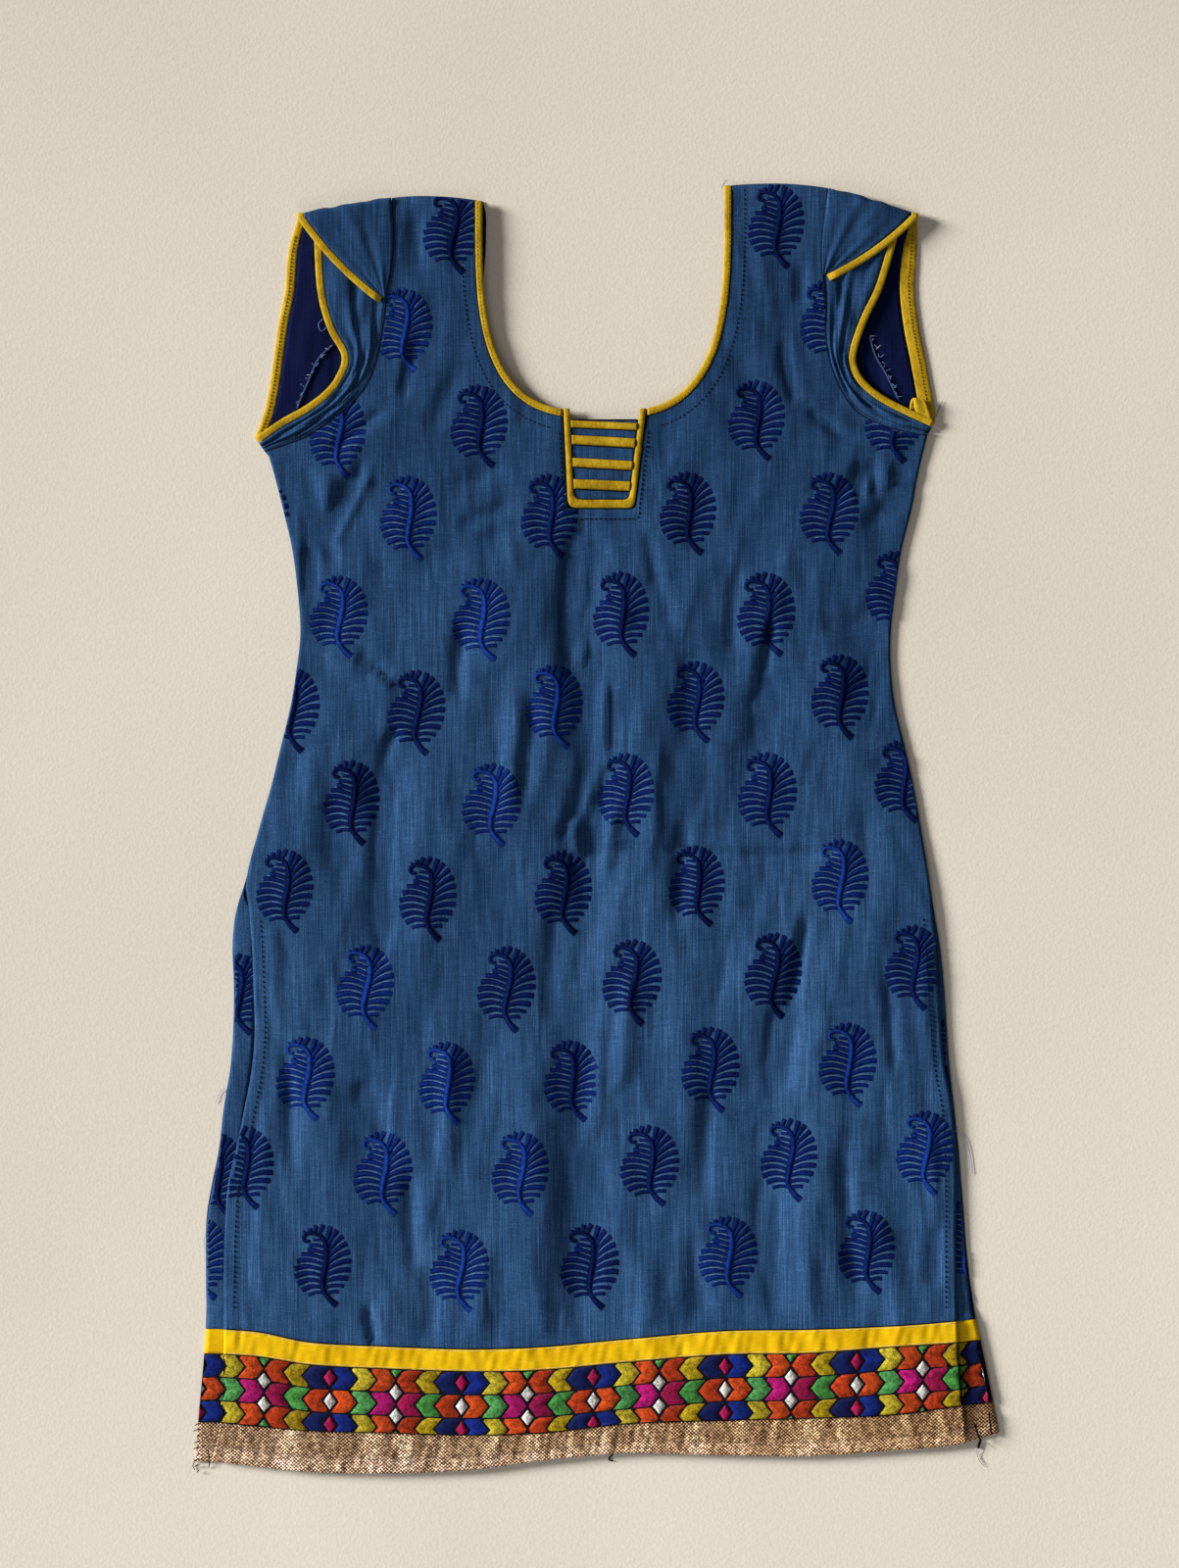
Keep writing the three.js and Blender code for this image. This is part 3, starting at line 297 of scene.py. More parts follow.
def bell(value, middle, reach):
    return np.exp(-((value - middle) / reach) ** 2)


def unit(v):
    return v / np.maximum(np.linalg.norm(v, axis=-1, keepdims=True), 1e-9)


def neighbours(n):
    """The places before and after each of n, kept within them."""
    return np.maximum(np.arange(n) - 1, 0), np.minimum(np.arange(n) + 1, n - 1)


def along(table, column, place):
    """Smooth curve through one column of a table, keyed by its first."""
    xs, ys = table[:, 0], table[:, column]
    n = len(xs)
    lo, hi = neighbours(n)
    slope = (ys[hi] - ys[lo]) / (xs[hi] - xs[lo])
    place = np.asarray(place, float)
    i = np.clip(np.searchsorted(xs, place, side="left") - 1, 0, n - 2)
    span = xs[i + 1] - xs[i]
    t = np.clip((place - xs[i]) / span, 0, 1)
    ease = t * (1 - t) ** 2 * span * slope[i] - t * t * (1 - t) * span * slope[i + 1]
    return mix(ys[i], ys[i + 1], t * t * (3 - 2 * t)) + ease


def curve_through(points, steps):
    """A smooth line through a few points."""
    p = np.asarray(points, float)
    keyed = np.column_stack([np.arange(len(p)), p])
    place = np.linspace(0, len(p) - 1, steps)
    return np.column_stack([along(keyed, c + 1, place) for c in range(p.shape[1])])


def on_curve(table, side, share):
    """A place on a table of points, by its share of the rows."""
    first = 0 if side < 0 else 2
    keyed = np.column_stack([np.arange(len(table)), table[:, first:first + 2]])
    place = np.asarray(share, float) * (len(table) - 1)
    return np.stack([along(keyed, 1, place), along(keyed, 2, place)], -1)


def side_x(column, y):
    return float(along(SECTIONS, column, y))


def edge_at(column, y):
    """A side edge of the front, with the armhole above it."""
    hole = ARMHOLE[:, [1, 0]] if column == FRONT[0] else ARMHOLE[:, [3, 2]]
    return np.where(y < UNDERARM, along(SECTIONS, column, y), np.interp(y, hole[:, 0], hole[:, 1]))


def hem_line(column, x):
    return along(HEM, column, x)


def hem_mean(column):
    return HEM[:, column].mean()


def yoke_x(y, side, inset=0.0):
    upper = mix(YOKE_AT_BOTTOM[side], YOKE_AT_TOP[side], (y - YOKE_BOTTOM) / (YOKE_TOP - YOKE_BOTTOM))
    lower = mix(YOKE_AT_BOTTOM[side], YOKE_AT_HEM[side], (YOKE_BOTTOM - y) / (YOKE_BOTTOM - HEM_MEAN))
    return np.where(y >= YOKE_BOTTOM, upper, lower) - side * inset


def yoke_point(y, side):
    return np.array([float(yoke_x(y, side)), y])


def yoke_span(y, inset, steps):
    return np.linspace(float(yoke_x(y, -1, inset)), float(yoke_x(y, 1, inset)), steps)


def ripple(x, y, seed, waves, long_x, long_y):
    """Soft uneven relief between about -1 and 1: waves with random phases and headings."""
    r = np.random.default_rng(seed)
    total = np.zeros_like(x, dtype=float)
    for _ in range(waves):
        kx = 2 * math.pi / (long_x * r.uniform(0.6, 1.7)) * r.choice([-1, 1])
        ky = 2 * math.pi / (long_y * r.uniform(0.6, 1.7))
        bend = r.uniform(0.2, 0.8) * np.sin(x / (long_x * 3.1) + y / (long_y * 1.3) + r.uniform(0, 6.3))
        total += np.sin(kx * x + ky * y + bend + r.uniform(0, 6.3))
    return total / math.sqrt(waves) / 1.3


def fold_sum(folds, x, y):
    """Height that a table of folds adds: each is a ridge or trough that fades at its ends."""
    total = np.zeros_like(x, dtype=float)
    for x0, y0, x1, y1, width, height in folds:
        run = np.array([x1 - x0, y1 - y0])
        length = run @ run
        share = np.clip(((x - x0) * run[0] + (y - y0) * run[1]) / length, 0, 1)
        away2 = (x - x0 - share * run[0]) ** 2 + (y - y0 - share * run[1]) ** 2
        ends = 0.25 + 0.75 * smooth(np.minimum(share, 1 - share) * 5)
        total += height * ends * np.exp(-away2 / width ** 2)
    return total


def front_z(x, y):
    """Middle of the front's cloth. Main folds die away to the sides, small ones run nearly to them."""
    x, y = np.asarray(x, float), np.asarray(y, float)
    from_side = np.minimum(x - edge_at(FRONT[0], y), edge_at(FRONT[1], y) - x)
    inside = smooth(from_side / EDGE_ROLL)
    edge, inner = np.interp(y, LEVELS[:, 0], LEVELS[:, 1]), np.interp(y, LEVELS[:, 0], LEVELS[:, 2])
    flat = mix(edge, inner, inside)
    over_hem = smooth((y - HEM_FADE[0]) / HEM_FADE[1])
    lofted = np.maximum(flat + MAIN_GAIN * fold_sum(MAIN_FOLDS, x, y) * inside * over_hem, edge)
    near = 0.35 + 0.65 * smooth(from_side / NEAR_EDGE)
    wavy = FINE_GAIN * fold_sum(FINE_FOLDS, x, y) + CREASE_GAIN * fold_sum(CREASES, x, y)
    long_ones, short_ones, cross_ones = (height * ripple(x, y, *waves)
                                         for height, *waves in FRONT_RIPPLES)
    wavy += long_ones + short_ones
    wavy += cross_ones
    lofted = np.maximum(lofted + wavy * near * mix(0.35, 1, over_hem), edge * 0.4 + 0.75)
    hemmed = smooth((SLIT_TOP - y) / 16) * over_hem * (1 - smooth((from_side - SLIT_HEM) / 1.6))
    lofted = lofted + SLIT_RISE * hemmed
    return mix(SHOULDER_Z, lofted, smooth((np.where(x < 0, *FRONT_TOP) - y) / SHOULDER_ROLL))


def back_z(x, y):
    flat = 0.6 + 0.12 * ripple(x, y, 21, 6, 40, 90)
    return mix(1.9, flat, smooth((y - hem_line(RIBBON_TOP, x) - 1) / 8))


def on_front(x, y, lift=0.0):
    """Points over the front's cloth."""
    return np.column_stack([x, y, front_z(x, y) + lift])


def below_top(x, y, lift=0.0):
    """The same near the yoke, with the height taken no higher up than the yoke's top."""
    return np.column_stack([x, y, front_z(x, np.minimum(y, YOKE_TOP)) + lift])


def neckline(side, share):
    """The free edge of the neck's binding, from the yoke's post up to the shoulder."""
    post = float(yoke_x(POST_TOP, side)) + side * 2 * GAP
    power = 2 / NECK_ROUND[side]
    start = math.asin((abs(post - NECK_MIDDLE) / NECK_HALF) ** (1 / power))
    share = np.asarray(share, float)
    angle = mix(start, math.pi / 2, np.minimum(share / NECK_CURVED, 1))
    x = NECK_MIDDLE + side * NECK_HALF * np.sin(angle) ** power
    curved = NECK_TURN[side] - (NECK_TURN[side] - NECK_BOTTOM) * np.maximum(np.cos(angle), 0) ** power
    up = np.maximum((share - NECK_CURVED) / (1 - NECK_CURVED), 0)
    return np.stack([x, curved + up * (NECK_SHOULDER[side] - NECK_TURN[side])], -1)


def beside_neckline(side, share, distance):
    """A line in the cloth at a distance from the neckline."""
    share = np.asarray(share, float)
    after, before = np.minimum(share + NECK_STEP, 1), np.maximum(share - NECK_STEP, 0)
    tangent = neckline(side, after) - neckline(side, before)
    outward = unit(np.stack([side * tangent[..., 1], -side * tangent[..., 0]], -1))
    outward = unit(mix(np.array([0.0, -1.0]), outward, smooth(share / NECK_TURNS)[..., None]))
    return neckline(side, share) + outward * np.asarray(distance, float)[..., None]


# Meshes

def grid_faces(rows, columns, keep=None):
    r, c = np.meshgrid(np.arange(rows - 1), np.arange(columns - 1), indexing="ij")
    a = (r * columns + c).ravel()
    faces = np.column_stack([a, a + 1, a + columns + 1, a + columns])
    return faces if keep is None else faces[keep(r, c).ravel()]


def shell(points, faces, halves):
    """Both sides of a sheet, the rim that joins them, and how many faces a side has."""
    n = len(points)
    verts = np.vstack([points + halves, points - halves])
    a = faces.ravel()
    b = np.roll(faces, -1, axis=1).ravel()
    free = ~np.isin(a * n + b, b * n + a)
    rim = np.column_stack([b[free], a[free], n + a[free], n + b[free]])
    return verts, np.vstack([faces, n + faces[:, ::-1], rim]), len(faces)


def grid_normals(points, rows, columns):
    g = points.reshape(rows, columns, 3)
    (left, right), (above, below) = neighbours(columns), neighbours(rows)
    return unit(np.cross(g[:, right] - g[:, left], g[below] - g[above])).reshape(-1, 3)


def upright(points, half=CLOTH_HALF):
    return np.tile([0.0, 0.0, 1.0], (len(points), 1)) * np.reshape(half, (-1, 1))


def strip(rows, thickness, crown=0.0):
    """A closed strip from rows of points: it swells by crown along its middle."""
    n, m = len(rows), len(rows[0])
    points = np.asarray(rows, float).reshape(-1, 3)
    across = np.tile(np.linspace(-1, 1, m), n)
    half = thickness / 2 * np.ones(n * m) + crown / 2 * np.sqrt(np.clip(1 - across ** 2, 0, 1))
    normal, faces = grid_normals(points, n, m), grid_faces(n, m)
    if normal[:, 2].mean() < 0:
        normal, faces = -normal, faces[:, ::-1]
    return shell(points, faces, normal * half[:, None])


def make(name, shape, materials, node=None, colours=None, second=None):
    """A piece from a shell. second is the side that has the second material, 0 top or 1 under."""
    verts, faces, count = shape
    mesh = bpy.data.meshes.new(name)
    mesh.from_pydata((np.asarray(verts) * MM).tolist(), [], np.asarray(faces).tolist())
    for material in materials:
        mesh.materials.append(material)
    if second is not None:
        index = np.zeros(len(faces), np.int32)
        index[second * count:(second + 1) * count] = 1
        mesh.polygons.foreach_set("material_index", index)
    mesh.polygons.foreach_set("use_smooth", np.full(len(mesh.polygons), True))
    if colours is not None:
        layer = mesh.color_attributes.new("thread", "FLOAT_COLOR", "POINT")
        colours = np.tile(colours, (len(verts) // len(colours), 1))
        rgba = np.column_stack([colours, np.ones(len(colours))]).astype(np.float32)
        layer.data.foreach_set("color", rgba.ravel())
    mesh.validate()
    mesh.update()
    piece = bpy.data.objects.new(name, mesh)
    bpy.context.scene.collection.objects.link(piece)
    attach(piece, "root")
    if node is not None:
        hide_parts(node)
    return piece


class Pile:
    """Small parts gathered into one mesh."""

    def __init__(self):
        self.verts, self.faces, self.colours, self.count = [], [], [], 0

    def put(self, verts, faces, colour):
        self.verts.append(verts)
        self.faces.append(np.asarray(faces) + self.count)
        self.colours.append(np.broadcast_to(colour, (len(verts), 3)))
        self.count += len(verts)

    def piece(self, name, material, slot):
        shape = np.vstack(self.verts), np.vstack(self.faces), 0
        return make(name, shape, [material], None, np.vstack(self.colours))


def tube(pile, points, radius, colour, sides=6):
    """A thread: a thin tube through points, with pointed ends."""
    points = np.asarray(points, float)
    tangent = unit(np.gradient(points, axis=0))
    flat = unit(np.cross(tangent, [0.0, 0.0, 1.0]) + [1e-6, 0, 0])
    other = np.cross(tangent, flat)
    turn = np.linspace(0, 2 * math.pi, sides, endpoint=False)
    size = np.full(len(points), radius)
    size[[0, -1]] = radius * 0.3
    ring = (np.cos(turn)[None, :, None] * flat[:, None] + np.sin(turn)[None, :, None] * other[:, None])
    verts = (points[:, None] + ring * size[:, None, None]).reshape(-1, 3)
    n = len(points)
    i, j = np.meshgrid(np.arange(n - 1), np.arange(sides), indexing="ij")
    a, b = i * sides + j, i * sides + (j + 1) % sides
    faces = np.stack([a, b, b + sides, a + sides], -1).reshape(-1, 4)
    pile.put(verts, faces, colour)


def stitch_row(points, colour, pitch, size, length=0.62, lift=0.15):
    """Running stitches along a line on the cloth: each dips in at both ends."""
    points = np.asarray(points, float)
    walked = np.concatenate([[0], np.cumsum(np.linalg.norm(np.diff(points[:, :2], axis=0), axis=1))])
    at = np.arange(pitch * 0.3, walked[-1] - pitch * 0.5, pitch)
    for i, start in enumerate(at):
        wobble = 0.15 * math.sin(i * 2.3)
        place = start + np.linspace(0, pitch * length, 4)
        xyz = np.column_stack([np.interp(place, walked, points[:, c]) for c in range(3)])
        xyz[:, 2] += lift + size * np.array([-0.6, 0.5, 0.5, -0.6])
        xyz[:, 1] += wobble * 0.3
        tube(stitches, xyz, size, colour, 4)


class Drape:
    """Finds the height of a finished cloth under places given in x and y."""

    def __init__(self, verts, faces):
        self.tree = BVHTree.FromPolygons((verts * MM).tolist(), faces.tolist())

    def top(self, x, y):
        z = np.full(len(x), np.nan)
        for i, (a, b) in enumerate(zip(x * MM, y * MM)):
            hit = self.tree.ray_cast((a, b, 0.1), (0, 0, -1))[0]
            if hit is not None:
                z[i] = hit.z / MM
        return z


# Materials

def linear(r, g, b):
    c = np.array([r, g, b]) / 255
    return np.where(c <= 0.04045, c / 12.92, ((c + 0.055) / 1.055) ** 2.4)


class Paint:
    """One procedural material."""

    def __init__(self, name, roughness, metallic=0.0, sheen=0.0, sheen_tint=(1, 1, 1), specular=0.08):
        self.material = bpy.data.materials.new(name)
        self.material.use_nodes = True
        self.tree = self.material.node_tree
        self.shader = self.tree.nodes["Principled BSDF"]
        self.fill(self.shader, {"Roughness": roughness, "Metallic": metallic, "Sheen Weight": sheen,
                                "Sheen Tint": (*sheen_tint, 1), "Specular IOR Level": specular})
        self.coords = self.tree.nodes.new("ShaderNodeTexCoord").outputs["Object"]
        self.normal = None

    def fill(self, node, sockets):
        """Sets a node's sockets, or links them where the value is another node's output."""
        for key, value in sockets.items():
            if isinstance(value, bpy.types.NodeSocket):
                self.tree.links.new(value, node.inputs[key])
            else:
                node.inputs[key].default_value = value
        return node

    def node(self, kind, sockets):
        return self.fill(self.tree.nodes.new(kind), sockets)

    def placed(self, turn, scale=(1, 1, 1)):
        mapping = {"Scale": scale, "Rotation": (0, 0, turn), "Vector": self.coords}
        return self.node("ShaderNodeMapping", mapping).outputs["Vector"]

    def noise(self, scale, detail=2.0, turn=0.0, distortion=0.0):
        """Noise with so many grains to a metre in x, y and z."""
        return self.node("ShaderNodeTexNoise", {
            "Scale": 1.0, "Detail": detail, "Distortion": distortion,
            "Vector": self.placed(turn, scale)}).outputs["Fac"]

    def wave(self, scale, direction, distortion, turn=0.0):
        node = self.node("ShaderNodeTexWave", {
            "Scale": scale, "Distortion": distortion, "Detail Scale": 2.0, "Vector": self.placed(turn)})
        node.bands_direction = direction
        return node.outputs["Fac"]

    def math(self, kind, a, b):
        node = self.tree.nodes.new("ShaderNodeMath")
        node.operation = kind
        return self.fill(node, {0: a, 1: b}).outputs[0]

    def total(self, *terms):
        """Sum of weight x (value - 0.5), about 0.5."""
        result = 0.5
        for weight, value in terms:
            part = self.math("MULTIPLY", self.math("SUBTRACT", value, 0.5), weight)
            result = self.math("ADD", part, result)
        return result

    def ramp(self, value, *stops):
        node = self.node("ShaderNodeValToRGB", {"Fac": value})
        elements = node.color_ramp.elements
        while len(elements) < len(stops):
            elements.new(0.5)
        for element, (place, colour) in zip(elements, stops):
            element.position = place
            element.color = (*colour, 1)
        return node.outputs["Color"]

    def between(self, low, high, value):
        sockets = {"To Min": low, "To Max": high, "Value": value}
        return self.node("ShaderNodeMapRange", sockets).outputs["Result"]

    def multiply(self, a, b):
        blend = self.tree.nodes.new("ShaderNodeMix")
        blend.data_type = "RGBA"
        blend.blend_type = "MULTIPLY"
        return self.fill(blend, {"Factor": 1.0, "A": a, "B": b}).outputs["Result"]

    def thread(self):
        """The colour that each part of a mesh was given."""
        node = self.tree.nodes.new("ShaderNodeVertexColor")
        node.layer_name = "thread"
        return node.outputs["Color"]

    def fade(self):
        """Painted light: a value that grows from the shoulders to the hem, so the cloth is a little lighter
        towards the hem, as if lit more strongly there.
        """
        parts = self.node("ShaderNodeSeparateXYZ", {0: self.coords})
        return self.math("ADD", self.math("MULTIPLY", parts.outputs["Y"], -1.4), 0.5)

    def bump(self, height, depth, strength=1.0):
        sockets = {"Height": height, "Distance": depth, "Strength": strength}
        if self.normal is not None:
            sockets["Normal"] = self.normal
        self.normal = self.node("ShaderNodeBump", sockets).outputs["Normal"]

    def crumple(self, depth):
        """Small soft wrinkles, longer down the cloth than across it."""
        long_ones = self.noise((40, 15, 40), 0.8, 0.14, 1.0)
        cross_ones = self.noise((20, 46, 40), 1.2, -0.3, 0.9)
        self.bump(self.total((1.0, long_ones), (0.4, cross_ones)), depth)

    def finish(self, colour, relief, depth, strength=1.0, roughness=None):
        self.bump(relief, depth, strength)
        self.fill(self.shader, {"Base Color": colour, "Normal": self.normal})
        if roughness is not None:
            self.fill(self.shader, {"Roughness": self.between(*roughness)})
        return self.material


def woven(name, dark, middle, light, sheen, wrinkles):
    """Slub chambray: long uneven warp threads, finer weft, soft patches of wear, and painted light that
    makes it a little lighter towards the hem.
    """
    p = Paint(name, 0.85, sheen=sheen, sheen_tint=(0.6, 0.75, 1))
    slub = p.noise((1900, 30, 70))
    broad = p.noise((800, 18, 18))
    weft = p.noise((90, 2100, 90))
    worn = p.noise((9, 5, 9), 3.0)
    specks = p.noise((2800, 900, 900), 1.0)
    # The last term is painted light: the cloth is lighter towards the hem.
    value = p.total((0.7, slub), (0.1, broad), (0.3, weft), (0.3, worn), (0.5, specks), (0.1, p.fade()))
    colour = p.ramp(value, (0.18, dark), (0.5, middle), (0.86, light))
    relief = p.total((1.0, slub), (0.6, weft), (0.5, specks))
    p.crumple(wrinkles)
    return p.finish(colour, relief, 0.00035, 0.6, (0.78, 0.95, slub))


def tape(name, dark, middle, light, scale=(700, 260, 260)):
    """Plain woven tape or binding with faint rub marks and puckers."""
    p = Paint(name, 0.7, sheen=0.03, sheen_tint=(1, 0.9, 0.6))
    grain = p.noise(scale)
    fine = p.noise((2400, 2400, 900), 1.0)
    rub = p.noise((60, 60, 60), 3.0)
    value = p.total((0.5, grain), (0.3, fine), (0.55, rub))
    colour = p.ramp(value, (0.2, dark), (0.5, middle), (0.85, light))
    return p.finish(colour, p.total((1.0, grain), (0.6, fine)), 0.0003, 0.6, (0.6, 0.85, rub))


def stitched(name, sheen, depth, contrast, specular, smoothest=0.45, roughest=0.7):
    """Embroidery thread in the colour of each part, laid in short satin stitches."""
    p = Paint(name, 0.55, sheen=sheen, specular=specular)
    line = p.wave(520, "DIAGONAL", 1.5)
    grain = p.noise((900, 900, 900))
    mottle = p.noise((330, 330, 330))
    value = p.total((0.5, line), (contrast, grain), (contrast, mottle))
    colour = p.multiply(p.thread(), p.between(0.35, 1.65, value))
    return p.finish(colour, p.total((0.5, line), (1.0, grain), (0.5, mottle)), depth, 0.7,
                    (smoothest, roughest, grain))


def metal_lace():
    """Woven metallic strip: a broken twill of copper and gold, with painted glitter in its palest specks,
    and silver threads in patches.
    """
    p = Paint("metal_lace", 0.45, metallic=0.25, specular=0.4)
    warp = p.wave(118, "X", 1.2, 0.02)
    weft = p.wave(130, "Y", 1.0, -0.02)
    checks = p.math("MULTIPLY", p.math("SUBTRACT", warp, 0.5), p.math("SUBTRACT", weft, 0.5))
    checks = p.math("ADD", p.math("MULTIPLY", checks, 1.6), 0.5)
    grain = p.noise((380, 640, 600), 0.6)
    patch = p.noise((120, 14, 14))
    value = p.total((2.2, checks), (1.7, grain), (0.6, patch))
    # Copper and gold are the threads' own colours; the palest stop is painted glitter, where the metal
    # would catch the light.
    base = p.ramp(value, (0.16, linear(74, 42, 18)), (0.46, linear(140, 98, 58)),
                  (0.66, linear(196, 152, 104)), (0.86, linear(255, 242, 216)))
    relief = p.total((1.2, checks), (1.0, grain))
    return p.finish(p.multiply(base, p.thread()), relief, 0.0006, 0.8, (0.3, 0.6, grain))


def floor_material():
    p = Paint("floor", 0.9)
    fine = p.noise((420, 420, 420), 3.0)
    soft = p.noise((3, 2, 3))
    colour = p.ramp(p.total((0.5, fine), (0.6, soft)), (0.2, linear(214, 205, 192)),
                    (0.5, linear(224, 217, 205)), (0.8, linear(232, 227, 217)))
    return p.finish(colour, fine, 0.0004, 0.35)


NAVY_INSIDE = woven("navy_inside", linear(3, 8, 34), linear(8, 18, 60), linear(18, 34, 88), 0.0, 0.003)
CHAMBRAY = woven("chambray", linear(13, 33, 60), linear(33, 66, 107), linear(72, 114, 162), 0.02, 0.0022)
YELLOW = tape("binding_yellow", linear(112, 88, 10), linear(182, 147, 22), linear(214, 186, 58))
RIBBON = tape("ribbon_yellow", linear(200, 152, 0), linear(226, 180, 0), linear(248, 212, 30),
              (160, 1500, 160))
GROUND = woven("border_ground", linear(4, 4, 10), linear(12, 11, 18), linear(34, 30, 44), 0.0, 0.001)
THREADS = stitched("embroidery_threads", 0.04, 0.0005, 2.0, 0.12)
LEAF_THREADS = stitched("leaf_threads", 0.0, 0.0003, 1.2, 0.05, 0.8, 0.95)
SEWING = stitched("sewing_thread", 0.0, 0.0001, 1.0, 0.08)
LACE = metal_lace()

PALE = linear(104, 136, 184)
# The black thread colour also serves for painted shade lines round the yoke's piping, strips and insert.
BLACK_THREAD_AND_SHADE, WHITE_THREAD = linear(8, 8, 18), linear(186, 190, 196)
# The dark seam colour also serves, at half its brightness, for a painted shadow cord beside the neck
# binding.
DARK_SEAM_AND_SHADOW, ARMHOLE_SEAM = linear(8, 16, 40), linear(14, 30, 60)
YELLOW_THREAD, DARK_YELLOW, CREAM_THREAD = linear(150, 112, 10), linear(96, 66, 4), linear(232, 208, 120)
FRAY, RUST_THREAD = linear(52, 66, 104), linear(120, 60, 40)
# A leaf's threads: barb's edges, barb's middle, rib's edges, rib's middle, glints between the barbs. The
# thread is navy to royal blue. The darker edges and lighter middle across each barb and the rib are painted
# shade and highlight of the rounded stitches.
DARK_LEAF = np.array([linear(1, 10, 50), linear(6, 28, 86), linear(0, 4, 34), linear(4, 18, 66),
                      linear(68, 94, 138)])
BRIGHT_LEAF = np.array([linear(1, 12, 58), linear(10, 40, 112), linear(5, 24, 90), linear(24, 60, 146),
                        linear(80, 108, 152)])
BARB_SHADED_EDGE, BARB_LIT_MIDDLE, RIB_SHADED_EDGE, RIB_LIT_MIDDLE, GLINT = range(5)
# Two shades of each of the band's colours
BLUE = linear(4, 22, 86), linear(6, 36, 130)
ORANGE = linear(180, 56, 16), linear(204, 74, 22)
OLIVE = linear(176, 150, 14), linear(194, 176, 44)
GREEN = linear(70, 146, 66), linear(84, 160, 88)
MAGENTA = linear(150, 10, 72), linear(190, 18, 120)
SILVER = linear(196, 194, 192), linear(168, 168, 172)


# The two panels

def cells(n):
    return max(4, int(n * FINENESS))


def spread(left, corner_left, corner_right, right, cuts):
    """A row of points in three parts, with cuts cells in the side parts and the middle one."""
    t, m = (np.linspace(0, 1, n + 1)[:, None] for n in cuts)
    return np.vstack([mix(left, corner_left, t), mix(corner_left, corner_right, m[1:-1]),
                      mix(corner_right, right, t)])


def body_row(y, columns, cuts):
    left, right = (np.array([side_x(column, y), y]) for column in columns)
    return spread(left, yoke_point(y, -1), yoke_point(y, 1), right, cuts)


def hem_row(share, columns, cuts):
    """Rows under the trims: 0 at the border's bottom, 1 at the ribbon's bottom, 2 at its top."""
    lines = [BORDER_BOTTOM, RIBBON_BOTTOM, RIBBON_TOP]
    i = min(int(share), 1)
    mean = mix(hem_mean(lines[i]), hem_mean(lines[i + 1]), share - i)
    row = body_row(mean, columns, cuts)
    row[:, 1] = mix(hem_line(lines[i], row[:, 0]), hem_line(lines[i + 1], row[:, 0]), share - i)
    return row


def panel(columns, cuts, body_rows, strap_rows, inset, cut_out):
    """A panel's points in x and y, and its faces. inset is the cloth's distance from the neckline."""
    side_cells, yoke_cells = cuts
    rows = [hem_row(s, columns, cuts) for s in [*np.linspace(0, 1, 10), *np.linspace(1, 2, 5)[1:]]]
    body = []
    for y in np.linspace(HEM_EASE[0], YOKE_BOTTOM, body_rows):
        row = body_row(y, columns, cuts)
        ease = 1 - smooth((y - HEM_EASE[0]) / (HEM_EASE[1] - HEM_EASE[0]))
        row[:, 1] += (hem_line(RIBBON_TOP, row[:, 0]) - HEM_MEAN) * ease
        body.append(row)
    rows += [mix(rows[-1], body[0], t) for t in (0.2, 0.4, 0.6, 0.8)] + body
    cut_from = len(rows) - 1
    rows += [body_row(y, columns, cuts) for y in np.linspace(YOKE_BOTTOM, ARMHOLE[0, 1], 12)[1:-1]]
    corners = [beside_neckline(s, 0.0, inset(s, 0.0)) if cut_out else yoke_point(BACK_LOWEST, s)
               for s in (-1, 1)]
    level_y = (on_curve(ARMHOLE, -1, LEVEL_TO)[1] + on_curve(ARMHOLE, 1, LEVEL_TO)[1]) / 2
    for share in np.linspace(0, STRAPS_FROM, 11):
        left, right = on_curve(ARMHOLE, -1, share), on_curve(ARMHOLE, 1, share)
        y = min((left[1] + right[1]) / 2, level_y)
        t = max(share - LEVEL_TO, 0) / (STRAPS_FROM - LEVEL_TO)
        here = [mix(yoke_point(y, s), corner, t) for s, corner in zip((-1, 1), corners)]
        rows.append(spread(left, *here, right, cuts))
    width = len(rows[0])
    points = [np.vstack(rows)]
    faces = [grid_faces(len(rows), width, lambda r, c: ~(
        cut_out & (r >= cut_from) & (c >= side_cells) & (c < side_cells + yoke_cells)))]
    count = len(rows) * width
    across = np.linspace(0, 1, side_cells + 1)[:, None]
    for side in (-1, 1):
        first = (len(rows) - 1) * width + (0 if side < 0 else side_cells + yoke_cells)
        below = np.arange(side_cells + 1) + first
        for k in range(1, strap_rows + 1):
            share = k / strap_rows
            seam = on_curve(ARMHOLE, side, mix(STRAPS_FROM, 1, share))
            neck = beside_neckline(side, share, inset(side, share))
            row = mix(seam, neck, across) if side < 0 else mix(neck, seam, across)
            row[:, 1] += 2.5 * 4 * (across * (1 - across))[:, 0] * share ** 3
            points.append(row)
            above = np.arange(side_cells + 1) + count
            count += side_cells + 1
            faces.append(np.column_stack([below[:-1], below[1:], above[1:], above[:-1]]))
            below = above
    return np.vstack(points), np.vstack(faces)


def front_inset(side, share):
    return BINDING + GAP


def back_inset(side, share):
    """The back's neck edge stands out a little into the opening near the left shoulder."""
    if side > 0:
        return 0.8
    return 0.8 - 3.4 * float(smooth(1 - abs(share - 0.9) / 0.16))


def panel_shell(height, *sizes):
    flat, faces = panel(*sizes)
    points = np.column_stack([flat, height(*flat.T)])
    return shell(points, faces, upright(points)), len(points)


